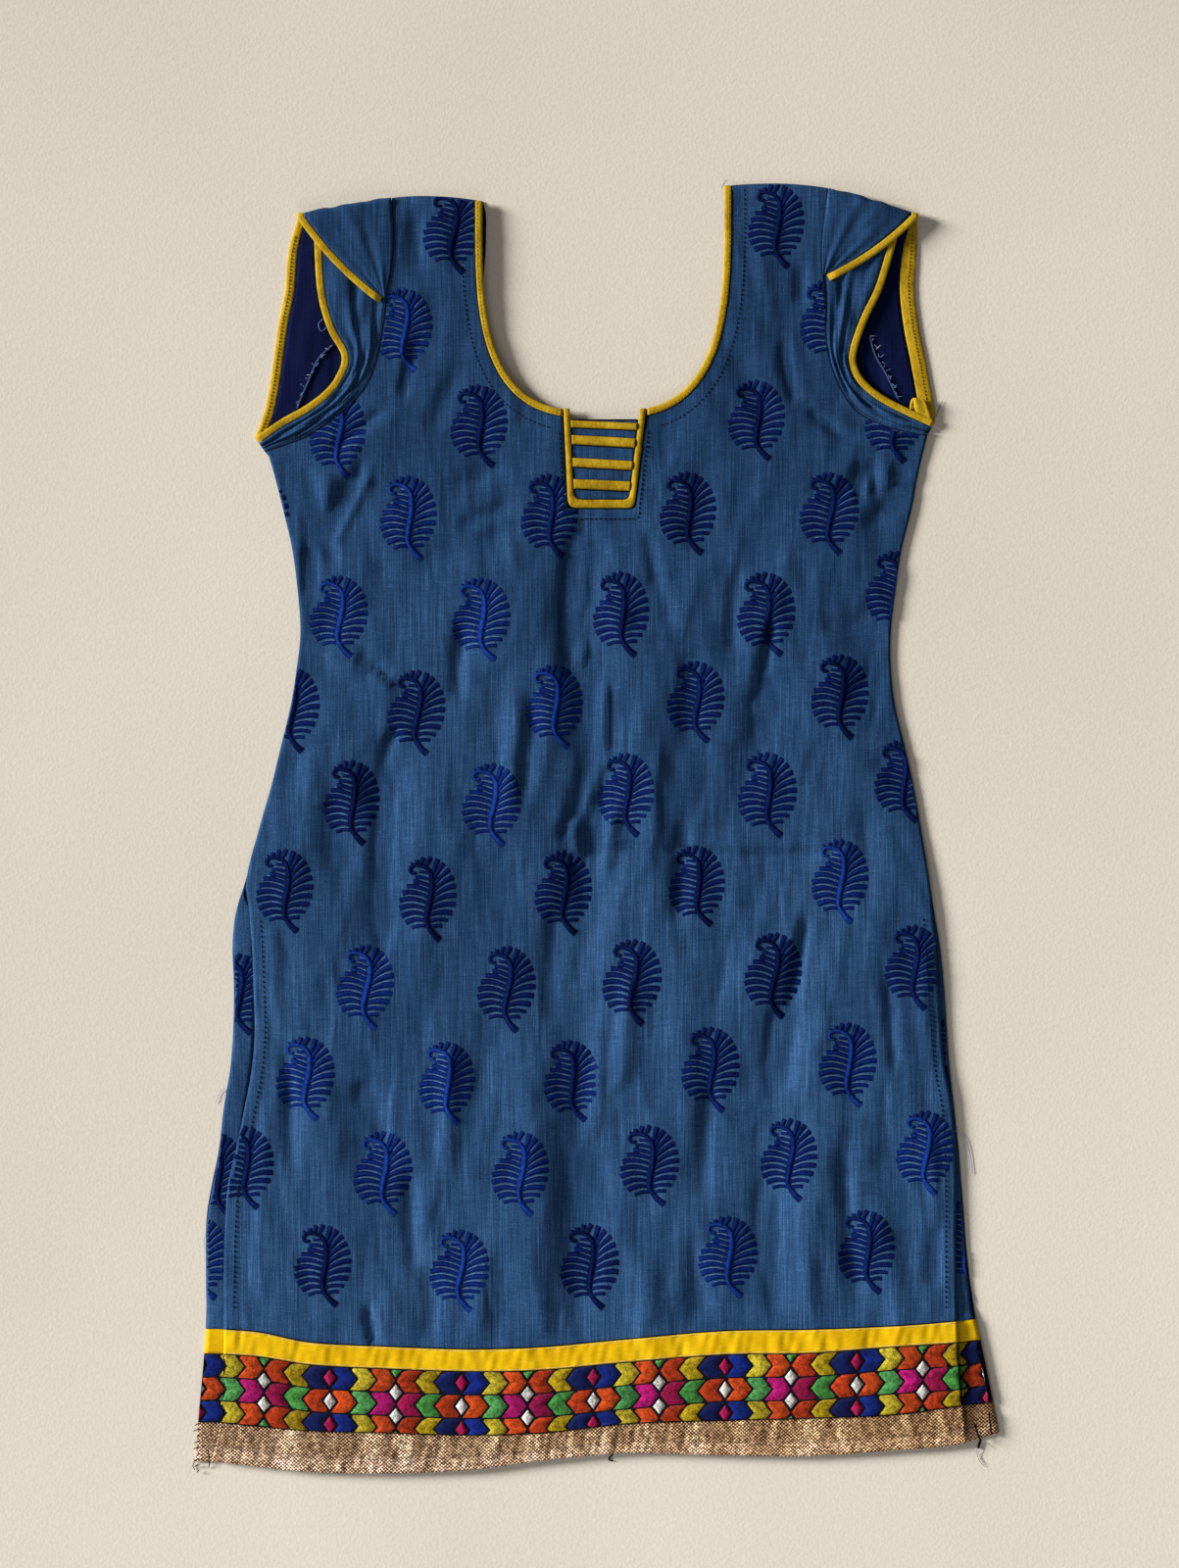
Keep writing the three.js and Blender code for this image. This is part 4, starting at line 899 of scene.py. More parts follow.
FINENESS = 1.0
front_shell, front_count = panel_shell(front_z, FRONT, (cells(84), cells(18)), cells(165), cells(50),
                                       front_inset, True)
front = make("front_cloth", front_shell, [CHAMBRAY], "front")
front_top = Drape(front_shell[0][:front_count], front_shell[1][:front_shell[2]])
back_shell, _ = panel_shell(back_z, BACK, (cells(40), cells(10)), cells(110), cells(40), back_inset, False)
back = make("back_cloth", back_shell, [CHAMBRAY, NAVY_INSIDE], "back", None, 0)


# Trims along the hem

def hem_strip(columns, low, high, count, rows, height, low_inset=0.0, high_inset=0.0):
    """Points of a band across a panel between two of the hem's lines."""
    grid = []
    for t in np.linspace(0, 1, rows):
        y = mix(hem_mean(low), hem_mean(high), t)
        x = np.linspace(side_x(columns[0], y), side_x(columns[1], y), count)
        line = mix(hem_line(low, x) + low_inset, hem_line(high, x) - high_inset, t)
        grid.append(np.column_stack([x, line, height(x, line, t)]))
    return np.array(grid)


def ribbon_height(x, y, t):
    return front_z(x, y) + RIBBON_LIFT + 0.3 * ripple(x, y, 41, 8, 9, 30)


def border_height(x, y, t):
    return front_z(x, y) + BORDER_LIFT


def lace_height(x, y, t):
    roll = 0.5 * bell(t, LACE_RIDGE, 0.1) + 0.35 * ripple(x, y, 31, 8, 9, 30)
    return front_z(x, y) + LACE_LIFT + roll * smooth(t * 6)


def on_floor(x, y, t):
    return np.full_like(x, 0.5)


def lace_colours(grid):
    """The lower part is folded and lighter; painted shade darkens the crease; silver threads shimmer in
    patches of the upper part.
    """
    rows, count = grid.shape[:2]
    t = np.repeat(np.linspace(0, 1, rows), count)
    x, y = grid.reshape(-1, 3)[:, 0], grid.reshape(-1, 3)[:, 1]
    upper = smooth((t - LACE_FOLD) / 0.08)
    tone = mix(LACE_FOOT, LACE_UPPER, upper[:, None])
    # Painted shade: darker along the crease.
    tone = tone * (1 - 0.4 * bell(t, LACE_CREASE, 0.03)[:, None])
    patch = np.zeros_like(x)
    for middle, reach, strength in SILVER_PATCHES:
        patch += strength * np.exp(-((x - middle) / reach) ** 4)
    twist = smooth(0.5 + 0.9 * np.sin(x * 2.6) * np.sin(y * 3.3))
    shine = (np.minimum(patch, 1) * mix(0.35, 1, twist) * mix(0.5, 1, upper))[:, None]
    golden = mix(np.ones(3), LACE_GOLDEN, smooth(x / 520 + 0.5)[:, None])
    return tone * golden * (1 + shine * LACE_SHINE)


for name, columns in (("front", FRONT), ("back", BACK)):
    heights = (ribbon_height, border_height, lace_height) if name == "front" else (on_floor,) * 3
    ribbon = hem_strip(columns, RIBBON_BOTTOM, RIBBON_TOP, cells(300), 9, heights[0], 0.1, 0.1)
    border = hem_strip(columns, BORDER_BOTTOM, RIBBON_BOTTOM, cells(300), 13, heights[1], 0.1, 0.1)
    lace = hem_strip(columns, LACE_BOTTOM, BORDER_BOTTOM, cells(380), 17, heights[2], 0, 0.3)
    make(f"{name}_ribbon_tape", strip(ribbon, 0.5), [RIBBON], f"{name}_ribbon")
    make(f"{name}_border_ground", strip(border, 0.5), [GROUND], f"{name}_border")
    make(f"{name}_lace_strip", strip(lace, 0.6), [LACE], f"{name}_lace", lace_colours(lace))


# Stitched border

def raise_on(pile, place, u, down, lift, colour):
    """One field of satin stitches, left out where it is off the cloth."""
    points = place(u.ravel(), down.ravel(), lift.ravel())
    if points is not None:
        pile.put(points, grid_faces(*u.shape)[:, ::-1], colour)


def stitched_part(pile, place, centre, low, high, left, right, colour, rise=0.75):
    """A field whose sides run out to a point at half height: left and right give each side's
    offset at the ends and at the point."""
    v, t = np.linspace(0, 1, 9), np.linspace(0, 1, 6)
    point = 1 - np.abs(2 * v - 1)
    a, b = mix(left[0], left[1], point), mix(right[0], right[1], point)
    u = centre + a[:, None] + (b - a)[:, None] * t
    down = np.repeat(mix(low, high, v)[:, None], len(t), 1)
    edge = np.minimum(np.minimum(t, 1 - t)[None, :] * 4, np.minimum(v, 1 - v)[:, None] * 7)
    lift = -0.12 + (rise + 0.12) * np.sqrt(np.clip(edge, 0, 1))
    raise_on(pile, place, u, down, lift, colour)


def stitched_triangle(pile, place, centre, low, high, half, wide_end, colour):
    v, t = np.linspace(0, 1, 5), np.linspace(-1, 1, 5)
    reach = half * (v if wide_end else 1 - v) + 0.15
    u = centre + reach[:, None] * t
    down = np.repeat(mix(low, high, v)[:, None], len(t), 1)
    lift = np.where((np.abs(t)[None, :] > 0.9) | ((v == 0) | (v == 1))[:, None], -0.3, 0.7)
    raise_on(pile, place, u, down, lift, colour)


def border_chart(pile, place):
    """The band's small repeat: hexagons at A, chevrons away from them, diamonds at A and B."""
    for k in range(-3, 4):
        a = k * 2 * HALF_PERIOD
        for row in range(3):
            outer = row != 1
            tones = (BLUE, OLIVE, ORANGE) if outer else (ORANGE, GREEN, MAGENTA)
            for s in (-1, 1):
                for field, colour in zip(FIELDS, tones):
                    pair = s * (field - FIELD_GAP)
                    shade = colour[0 if s < 0 else 1] * rng.uniform(0.66, 0.95)
                    low, high = (row + end for end in FIELD_ENDS)
                    stitched_part(pile, place, a, low, high, *pair[::s], shade)
            gem = MAGENTA if outer else SILVER
            stitched_part(pile, place, a, row + 0.14, row + 0.86, (0, -GEM_A), (0, GEM_A), gem[0], 0.9)
        b = a + HALF_PERIOD
        for junction in (1, 2):
            stitched_part(pile, place, b, junction - 0.33, junction + 0.33, (0, -GEM_B), (0, GEM_B),
                          SILVER[0], 0.9)
        for low, high, wide in ((0.03, 0.36, 0), (2.64, 2.97, 1)):
            stitched_triangle(pile, place, b, low, high, TRIANGLE, wide, GREEN[0])


def band_place(height, low, high):
    """Turns the chart's places into points on a panel's band, between two sides: low and high are
    each a column of the sections and a shift from it."""
    start = (FIRST_HEXAGON - PHOTO["x"]) * PHOTO["scale"]

    def place(u, rows_down, lift):
        x = start + u
        y = hem_line(RIBBON_BOTTOM, x) - rows_down * BAND_ROW
        left, right = (along(SECTIONS, column, y) + shift for column, shift in (low, high))
        if x.max() < left.min() + 0.6 or x.min() > right.max() - 0.6:
            return None
        x = np.clip(x, left + 0.3, right - 0.3)
        bottom = hem_line(BORDER_BOTTOM, x) + 0.4
        top = hem_line(RIBBON_BOTTOM, x) - 0.4
        y = np.clip(top + 0.4 - rows_down * BAND_ROW, bottom, top)
        return np.column_stack([x, y, height(x, y) + lift])
    return place


rng = np.random.default_rng(5)
border = Pile()
border_chart(border, band_place(lambda x, y: front_z(x, y) + EMBROIDERY_LIFT, (FRONT[0], 0), (FRONT[1], 0)))
border_threads = border.piece("front_border_embroidery", THREADS, "border")


# Turned hems of the back below the slits, and the ends of its trims that are turned with them

def flap_z(x, y):
    return back_z(x, y) + 0.95


for side, word in SIDES:
    column = BACK[0] if side < 0 else BACK[1]
    share = np.linspace(0, 1, 7)
    rows = []
    for y in np.linspace(FLAP_BOTTOM, FLAP_TOP[side], cells(110)):
        taper = float(smooth((FLAP_TOP[side] - y) / 22)) * 0.92 + 0.08
        x = along(SECTIONS, column, y) - side * FLAP * (share * taper)
        line = y + (hem_line(RIBBON_TOP, x) - FLAP_BOTTOM) * (1 - smooth((y - FLAP_BOTTOM) / 60))
        rows.append(np.column_stack([x, line, flap_z(x, line) - 0.5 * bell(share, 1, 0.1)]))
    make(f"back_hem_{word}", strip(rows, 0.4), [CHAMBRAY])
    for label, low, high, material, slot, lift in (
            ("ribbon", RIBBON_BOTTOM, RIBBON_TOP, RIBBON, "ribbon", 2.5),
            ("ground", BORDER_BOTTOM, RIBBON_BOTTOM, GROUND, "border", 2.5),
            ("lace", LACE_BOTTOM, BORDER_BOTTOM, LACE, "lace", 1.6)):
        rows = []
        for t in np.linspace(0, 1, 9):
            x = side_x(column, mix(hem_mean(low), hem_mean(high), t)) - side * FLAP * FLAP_WIDER * share
            y = mix(hem_line(low, x), hem_line(high, x), t)
            rows.append(np.column_stack([x, y, lift + 0.1 * np.sin(x * 0.9 + y * 0.7)]))
        colours = lace_colours(np.array(rows)) if label == "lace" else None
        make(f"back_turned_{label}_{word}", strip(rows, 0.5), [material], None, colours)
    pile = Pile()
    limits = [(column, 0), (column, -side * FLAP * BAND_WIDER)][::-side]
    border_chart(pile, band_place(lambda x, y: np.full_like(x, 2.7), *limits))
    pile.piece(f"back_border_embroidery_{word}", THREADS, "border")


# Petal sleeves

def petal_sections(side, outer):
    """Where a petal meets the armhole, its free edge, its binding's widths, and the row where it
    turns over the shoulder: up from the underarm, over, and down again as far as it overlaps."""
    table = RIM if outer else PETAL
    reach = (PETAL_HIGH - PETAL_LOW) / 2
    radius = reach if outer else (INNER_TOP - INNER_END[0]) / 2
    shares = np.concatenate([np.linspace(0, PETAL_TURN, cells(46)), np.linspace(PETAL_TURN, 1, 5)[1:]])

    def pulled(curve):
        points = on_curve(curve, side, shares)
        before, last = on_curve(curve, side, PETAL_TURN), on_curve(curve, side, 1.0)
        end = last + unit(before - last) * reach
        late = shares > PETAL_TURN
        points[late] = mix(before, end, ((shares[late] - PETAL_TURN) / (1 - PETAL_TURN))[:, None])
        return points

    seam, edge = pulled(ARMHOLE), pulled(table)
    if outer:
        seam_z, edge_z = np.full(len(seam), PETAL_LOW), np.full(len(edge), PETAL_EDGE)
        end_z = (PETAL_HIGH, PETAL_HIGH)
        width = mix(BINDING, BEHIND_ARM[side], smooth(np.minimum(shares, 1 - shares) * 6))
    else:
        seam_z, edge_z = (mix(low, INNER_TOP, smooth((line[:, 1] - 272) / 100))
                          for low, line in zip(INNER_LOW, (seam, edge)))
        end_z = INNER_END
        width = np.full(len(seam), BINDING)
    top_seam, top_edge = on_curve(ARMHOLE, side, 1.0), on_curve(table, side, 1.0)
    outward = unit(np.array([top_edge[1] - top_seam[1], top_seam[0] - top_edge[0]]))
    outward = -outward if outward[1] < 0 else outward
    angle = math.pi * np.arange(1, TURN_STEPS) / TURN_STEPS
    bulge = outward * (radius * np.sin(angle))[:, None]
    climb = (1 - np.cos(angle)) / 2
    back_seam = seam[shares >= OVERLAP_END[side]][::-1]
    t = np.linspace(0, 1, len(back_seam))[:, None]
    back_edge = mix(edge[-1], np.array(OVERLAP_POINT[side], float), t)
    back_edge = back_edge + np.array([side, -1]) * OVERLAP_SAG * 4 * t * (1 - t) * math.sqrt(0.5)
    lines = []
    for line, z, end, over in ((seam, seam_z, end_z[0], back_seam), (edge, edge_z, end_z[1], back_edge)):
        lines.append(np.vstack([np.column_stack([line, z]),
                                np.column_stack([line[-1] + bulge, mix(z[-1], end, climb)]),
                                np.column_stack([over, np.full(len(t), end)])]))
    widths = np.concatenate([width, np.full(TURN_STEPS - 1 + len(t), BINDING)])
    return *lines, widths, len(seam)


def inward_directions(seams, edges):
    before, after = neighbours(len(seams))
    tangent = unit(edges[after] - edges[before])
    across = seams - edges
    square = unit(across - (across * tangent).sum(1)[:, None] * tangent)
    for _ in range(3):
        square = unit(2 * square + square[after] + square[before])
    return square


def binding_strip(edges, inward, widths):
    """Folded binding: rounded over its free edge and pressed down along the seam."""
    points = edges[:, None] + inward[:, None] * (BINDING_SHARES[None, :, None] * widths[:, None, None])
    n, m = len(edges), len(BINDING_SHARES)
    flat = points.reshape(-1, 3)
    pucker = 1 + 0.12 * ripple(flat[:, 0], flat[:, 1], 51, 6, 4, 4)
    half = np.tile(BINDING_PROFILE, n) * pucker
    return shell(flat, grid_faces(n, m), grid_normals(flat, n, m) * half[:, None])


stitches = Pile()
for side, word in SIDES:
    for label in ("outer", "inner"):
        outer = label == "outer"
        seams, edges, widths, turn_at = petal_sections(side, outer)
        inward = inward_directions(seams, edges)
        n, columns = len(seams), 22
        way, go = (np.arange(n) / (n - 1))[:, None], np.linspace(0, 1, columns)[None, :]
        start = edges + inward * (widths + GAP)[:, None]
        stop = seams + unit(edges - seams) * GAP
        points = mix(start[:, None], stop[:, None], go[..., None])
        normal = grid_normals(points.reshape(-1, 3), n, columns).reshape(n, columns, 3)
        flip = -1 if normal[-1 if outer else 2, columns // 2, 2] < 0 else 1
        normal = normal * flip
        span = np.linalg.norm(stop - start, axis=1)
        free = np.sin(np.pi * go) * np.minimum(span / 40, 1)[:, None]
        wave = (0.6 * np.sin(go * 17 + 9 * way + 1.3 * side) + 0.4 * np.sin(go * 29 - 13 * way + side)
                + 0.4 * np.sin(go * 9 + 34 * way) + 0.3 * np.sin(way * 70 - 6 * go))
        gather = wave * np.sin(np.pi * go) ** 0.7
        if outer:
            lift = np.where(way > turn_at / n, free * 0.9 + gather * 0.7,
                            -free * 0.05 - 0.1 * np.abs(gather) * 0.3)
        else:
            lift = np.where(way > turn_at / n, 0, free * 0.8 + gather * 1.5)
        points = points + normal * lift[..., None]
        sleeve = shell(points.reshape(-1, 3), grid_faces(n, columns)[:, ::flip],
                       normal.reshape(-1, 3) * CLOTH_HALF)
        make(f"sleeve_{word}_{label}_cloth", sleeve, [CHAMBRAY, NAVY_INSIDE],
                 f"sleeve_{word}_{label}", None, 1)
        make(f"binding_{word}_{label}_tape", binding_strip(edges, inward, widths), [YELLOW],
                 f"binding_{word}_{label}")
        if outer:
            seat = (edges + inward * (0.42 * widths[:, None]))[3:turn_at - 4]
            seat[:, 2] += 0.95
            stitch_row(seat, DARK_YELLOW, 2.6, 0.3, 0.7, lift=0.0)


# Neck and yoke

for side, word in SIDES:
    share = np.linspace(0, 1, cells(90))
    rim, inner = (beside_neckline(side, share, distance) for distance in (0, BINDING))
    height = front_z(*inner.T) + GAP
    rim3, inner3 = np.column_stack([rim, height]), np.column_stack([inner, height])
    neck = binding_strip(rim3, (inner3 - rim3) / BINDING, np.full(len(share), BINDING))
    make(f"neck_binding_{word}_tape", neck, [YELLOW], f"neck_binding_{word}")
    groove = beside_neckline(side, share, BINDING * 0.72)
    stitch_row(np.column_stack([groove, height + 0.55]), YELLOW_THREAD, 2.8, 0.22)
    turned = beside_neckline(side, share[3:-1], BINDING + 9.5)
    stitch_row(on_front(*turned.T, CLOTH_HALF), DARK_SEAM_AND_SHADOW, 3.4, 0.42, lift=0.02)

rows = []
for y in np.linspace(YOKE_BOTTOM + BAR_WIDTH + 2 * GAP, YOKE_TOP, cells(30)):
    x = yoke_span(y, POST_WIDTH + 2 * GAP, cells(26))
    level = np.full_like(x, y)
    z = front_z(x, level) - 0.2 + 0.25 * ripple(x, level, 61, 6, 12, 9)
    rows.append(np.column_stack([x, level, z]))
insert = make("yoke_insert_cloth", strip(rows, 2 * CLOTH_HALF), [CHAMBRAY], "yoke_insert")


def across_yoke(y, t):
    return mix(yoke_x(y, -1, POST_WIDTH + 3 * GAP), yoke_x(y, 1, POST_WIDTH + 3 * GAP), t)


for number, (left_y, right_y, width) in enumerate(YOKE_STRIPS, 1):
    rows = []
    t = np.linspace(0, 1, cells(46))
    for across in np.linspace(-0.5, 0.5, 9):
        wander = 0.35 * np.sin(t * 7 + number * 1.7) * (0.5 - abs(across))
        y = mix(left_y, right_y, t) + across * width + wander
        x = across_yoke(y, t)
        z = front_z(x, y) + 0.75 + 1.1 * math.sqrt(max(0.25 - across ** 2, 0)) * 2
        rows.append(np.column_stack([x, y, z + 0.08 * ripple(x, y, 70 + number, 6, 9, 7)]))
    make(f"yoke_strip_{number}_tape", strip(rows, 0.4), [YELLOW],
                            f"yoke_strip_{number}")


def frame_line(inset, bottom_inset, steps):
    """Down one post of the yoke's frame, across its bar and up the other, with soft corners."""
    low = YOKE_BOTTOM + bottom_inset
    ys = np.linspace(POST_TOP, low, steps)
    xs = yoke_span(low, inset, steps)[1:-1]
    line = np.vstack([np.column_stack([yoke_x(ys, -1, inset), ys]),
                      np.column_stack([xs, np.full(len(xs), low)]),
                      np.column_stack([yoke_x(ys[::-1], 1, inset), ys[::-1]])])
    for side, reach in ((-1, 7.5), (1, 5.0)):
        away = np.linalg.norm(line - [float(yoke_x(low, side, inset)), low], axis=1)
        near = np.clip(1 - away / reach, 0, 1) ** 2
        line = line + np.outer(near * 0.3 * reach, unit(np.array([-side, 1.0])))
    return line


outer_line = frame_line(GAP, GAP, 36)
inner_line = frame_line(GAP + POST_WIDTH, GAP + BAR_WIDTH, 36)
flat = mix(outer_line[:, None], inner_line[:, None], PIPING_SHARES[None, :, None]).reshape(-1, 2)
half = np.tile(PIPING_PROFILE, len(outer_line)) * (1 + 0.1 * ripple(*flat.T, 81, 6, 4, 4))
points = np.column_stack([flat, front_z(flat[:, 0], np.minimum(flat[:, 1], YOKE_TOP)) + GAP + 0.2])
piping = shell(points, grid_faces(len(outer_line), len(PIPING_SHARES))[:, ::-1], upright(points, half))
make("yoke_piping", piping, [YELLOW], "yoke_frame")
around = frame_line(-3.2, -7.6, 40)
around = around[around[:, 1] < 284]
stitch_row(on_front(*around.T, CLOTH_HALF), BLACK_THREAD_AND_SHADE, 3.4, 0.5, lift=0.05)
# Dark lines of shade and thread round the piping, the strips and the insert's top
for side in (-1, 1):
    y = np.linspace(POST_TOP - 0.6, 284, 12)
    tube(stitches, below_top(yoke_x(y, side, -0.9), y), 0.75, BLACK_THREAD_AND_SHADE)
tube(stitches, below_top(*frame_line(-0.15, -0.15, 50).T, CLOTH_HALF), 0.45, BLACK_THREAD_AND_SHADE)
for left_y, right_y, width in YOKE_STRIPS:
    for across, radius in ((-0.56, 0.5), (0.54, 0.22)):
        t = np.linspace(0, 1, 24)
        y = mix(left_y, right_y, t) + across * width
        tube(stitches, on_front(across_yoke(y, t), y, 0.35), radius, BLACK_THREAD_AND_SHADE)
x = yoke_span(YOKE_TOP, POST_WIDTH, 24)
top_edge = np.column_stack([x, np.full(24, YOKE_TOP + 0.3), front_z(x, np.full(24, YOKE_TOP)) + 0.2])
tube(stitches, top_edge, 0.55, BLACK_THREAD_AND_SHADE)
for side in (-1, 1):
    corner = np.array([[float(yoke_x(YOKE_BOTTOM, side, 1.0)), YOKE_BOTTOM + 1.2],
                       [float(yoke_x(YOKE_BOTTOM, side, POST_WIDTH)), YOKE_BOTTOM + BAR_WIDTH - 0.4]])
    tube(stitches, on_front(*corner.T, 1.35), 0.22, BLACK_THREAD_AND_SHADE)


# Embroidered leaves

def ellipse(centre, a, b, degrees):
    angle = math.radians(degrees)
    return np.array([centre[0] + a * math.cos(angle), centre[1] + b * math.sin(angle)])


def rib_x(y):
    tail = np.clip(-17 - y, 0, None)
    return 0.9 + 1.9 * np.sin((y + 2) * math.pi / 27) * smooth((y + 24) / 10) + 8.4 * (tail / 11.6) ** 2


def leaf():
    """One leaf by formula: an S rib with a curled tip, and bowed barbs out to an egg outline."""
    parts = []

    def ribbon(line, halves, height, edge_tone, middle_tone, columns=5):
        line, halves = np.asarray(line, float), np.asarray(halves, float)
        tangent = unit(np.gradient(line, axis=0))
        side = np.column_stack([-tangent[:, 1], tangent[:, 0]])
        across = np.linspace(-1, 1, columns)
        xy = line[:, None] + side[:, None] * (across[None, :, None] * halves[:, None, None])
        lift = np.tile(height * (1 - np.abs(across) ** 4), len(line)) + 0.04
        ends = np.ones(len(line))
        ends[[0, -1]] = 0.3
        lift = lift * np.repeat(ends, columns)
        # Painted shade and highlight: darker towards the edges, lighter along the middle.
        shade = np.repeat((1 - np.abs(across))[None, :, None] ** 0.8, len(line), 0)
        tones = mix(TONES[edge_tone], TONES[middle_tone], shade).reshape(-1, len(TONES))
        parts.append((xy.reshape(-1, 2), lift, grid_faces(len(line), columns), tones))

    def barb(root, tip, bow, root_half, tip_half, steps=7):
        root, tip = np.array(root), np.array(tip)
        t = np.linspace(0, 1, steps)[:, None]
        control = (root + tip) / 2 + np.array([0, 2 * bow])
        line = (1 - t) ** 2 * root + 2 * t * (1 - t) * control + t ** 2 * tip
        halves = mix(root_half, tip_half, smooth(t[:, 0] * 1.3))
        ribbon(line, halves, 0.6, BARB_SHADED_EDGE, BARB_LIT_MIDDLE)
        if abs(tip[0] - root[0]) > 6:
            glint = line[1:-1] + np.array([0, 1]) * (halves[1:-1, None] + 0.45)
            ribbon(glint, np.full(len(glint), 0.36), 0.3, GLINT, GLINT, 3)

    egg, lobe = ((-0.2, 4.0), 20.9, 26.4), ((-0.5, -4.0), 20.6, 19.4)
    hook = ((-11.6, 24.6), (-8.6, 25.3), (-5.4, 24.8), (-2.4, 23.2))
    for i, root in enumerate(hook):
        barb(root, ellipse(*egg, 128 - i * 14.4), 0.2, 1.3, 1.75, 5)
    for i, y in enumerate(np.linspace(18.0, -19.5, 10), len(hook)):
        bow = 1.9 * math.sin(math.pi * (i - 3) / 11.5)
        barb((float(rib_x(y)) + 0.8, y), ellipse(*egg, 128 - i * 14.4), bow, 1.3, 2.0 if i < 12 else 1.4)
    for i, y in enumerate(np.linspace(9.5, -19.0, 8)):
        bow = 2.4 * math.sin(math.pi * (i + 1) / 9.5)
        barb((float(rib_x(y)) - 0.9, y), ellipse(*lobe, 121 + i * 16.5), bow, 1.25, 1.95 if i < 7 else 1.3)
    barb((1.4, 18.2), (-6.6, 19.6), 0.6, 0.9, 1.1)
    barb((1.4, 14.0), (-9.6, 15.6), 0.9, 1.0, 1.6)
    body = [(float(rib_x(y)), y) for y in np.linspace(-28.3, 17.5, 24)]
    curl = [ellipse((-10.6, 20.6), r, r * 1.05, a) for r, a in
            zip(np.linspace(3.7, 1.5, 9), np.linspace(84, 330, 9))]
    line = np.array([*body, (0.6, 20.4), (-1.8, 22.8), (-5.2, 24.2), (-8.0, 24.6), *curl])
    halves = np.interp(np.linspace(0, 1, len(line)), *RIB_HALVES)
    ribbon(line, halves, 0.95, RIB_SHADED_EDGE, RIB_LIT_MIDDLE)
    xy, lift, faces, tones = zip(*parts)
    firsts = np.cumsum([0, *map(len, xy)])
    faces = [some + first for some, first in zip(faces, firsts)]
    return np.vstack(xy), np.concatenate(lift), np.vstack(faces), np.vstack(tones)


TONES = np.eye(5)
leaf_xy, leaf_lift, leaf_faces, leaf_tones = leaf()


def embroider(name, places, height, seed):
    """Leaves on a cloth: a part that runs off the cloth is cut there."""
    r = np.random.default_rng(seed)
    pile = Pile()
    for number, centre in enumerate(from_photo(places)):
        tones = mix(DARK_LEAF, BRIGHT_LEAF, 0.85 if number in BRIGHT_RIBS else r.uniform(0, 0.25))
        turn = math.radians(r.uniform(-4, 4))
        size = np.array([r.uniform(0.95, 1.02), r.uniform(0.96, 1.03)])
        c, s = math.cos(turn), math.sin(turn)
        xy = leaf_xy * size @ np.array([[c, s], [-s, c]]) + centre
        z = height(xy[:, 0], xy[:, 1])
        faces = leaf_faces[~np.isnan(z)[leaf_faces].any(1)]
        if not len(faces):
            continue
        used, index = np.unique(faces, return_inverse=True)
        verts = np.column_stack([xy[used], z[used] + leaf_lift[used]])
        pile.put(verts, index.reshape(faces.shape), leaf_tones[used] @ tones * r.uniform(0.9, 1.15))
    return pile.piece(name, LEAF_THREADS, "cloth")


def flap_height(x, y):
    z = np.full(len(x), np.nan)
    for side, column in zip((-1, 1), BACK):
        inside = (along(SECTIONS, column, y) - x) * side
        on = (inside > 0.4) & (inside < FLAP * 0.95)
        on &= (y > hem_line(RIBBON_TOP, x) + 1) & (y < FLAP_TOP[side] - 6)
        z[on] = flap_z(x, y)[on] + 0.25
    return z


front_leaves = embroider("front_leaves", LEAVES, front_top.top, 3)
back_leaves = embroider("back_leaves", BACK_LEAVES, flap_height, 4)


# Seams, sewing, a painted shadow cord and loose threads

seam_and_shadow_pile = Pile()
for side, column in zip((-1, 1), FRONT):
    line = on_curve(ARMHOLE, side, np.linspace(0.0, 1.0, 80))
    tube(seam_and_shadow_pile, on_front(*line.T, 0.25 if side < 0 else -0.1), 0.5, ARMHOLE_SEAM)
    # Painted shadow: a dark cord in the gap beside the neck binding stands for the shade under the
    # binding's fold.
    line = beside_neckline(side, np.linspace(0.0, 1.0, 90), BINDING + 0.25)
    tube(seam_and_shadow_pile, on_front(*line.T, -0.05), 0.55, DARK_SEAM_AND_SHADOW * 0.5)
    y = np.linspace(-344, -64, 90)
    x = along(SECTIONS, column, y) - side * (SLIT_HEM - 1.2)
    stitch_row(on_front(x, y, CLOTH_HALF), DARK_SEAM_AND_SHADOW, 3.6, 0.42, lift=0.02)
for line, up, radius, colour, low in ((RIBBON_TOP, 0.5, 0.4, DARK_SEAM_AND_SHADOW, 0.9),
                                      (RIBBON_TOP, -0.9, 0.3, CREAM_THREAD, 0),
                                      (RIBBON_BOTTOM, 0.9, 0.3, CREAM_THREAD, 0)):
    ends = [side_x(column, hem_mean(line)) for column in FRONT]
    x = np.linspace(ends[0] + 1, ends[1] - 1, 260)
    y = hem_line(line, x) + up
    tube(seam_and_shadow_pile, np.column_stack([x, y, front_z(x, y) + 1.6 - low]), radius, colour, 5)
seam_piece = seam_and_shadow_pile.piece("seam_and_shadow_lines", SEWING, "cloth")

loose = Pile()


def loose_thread(points, colour, radius=0.18, heights=0.5):
    flat = from_photo(points)
    line = np.column_stack([flat, np.broadcast_to(heights, len(flat))])
    tube(loose, curve_through(line, 6 * len(flat)), radius, colour, 5)


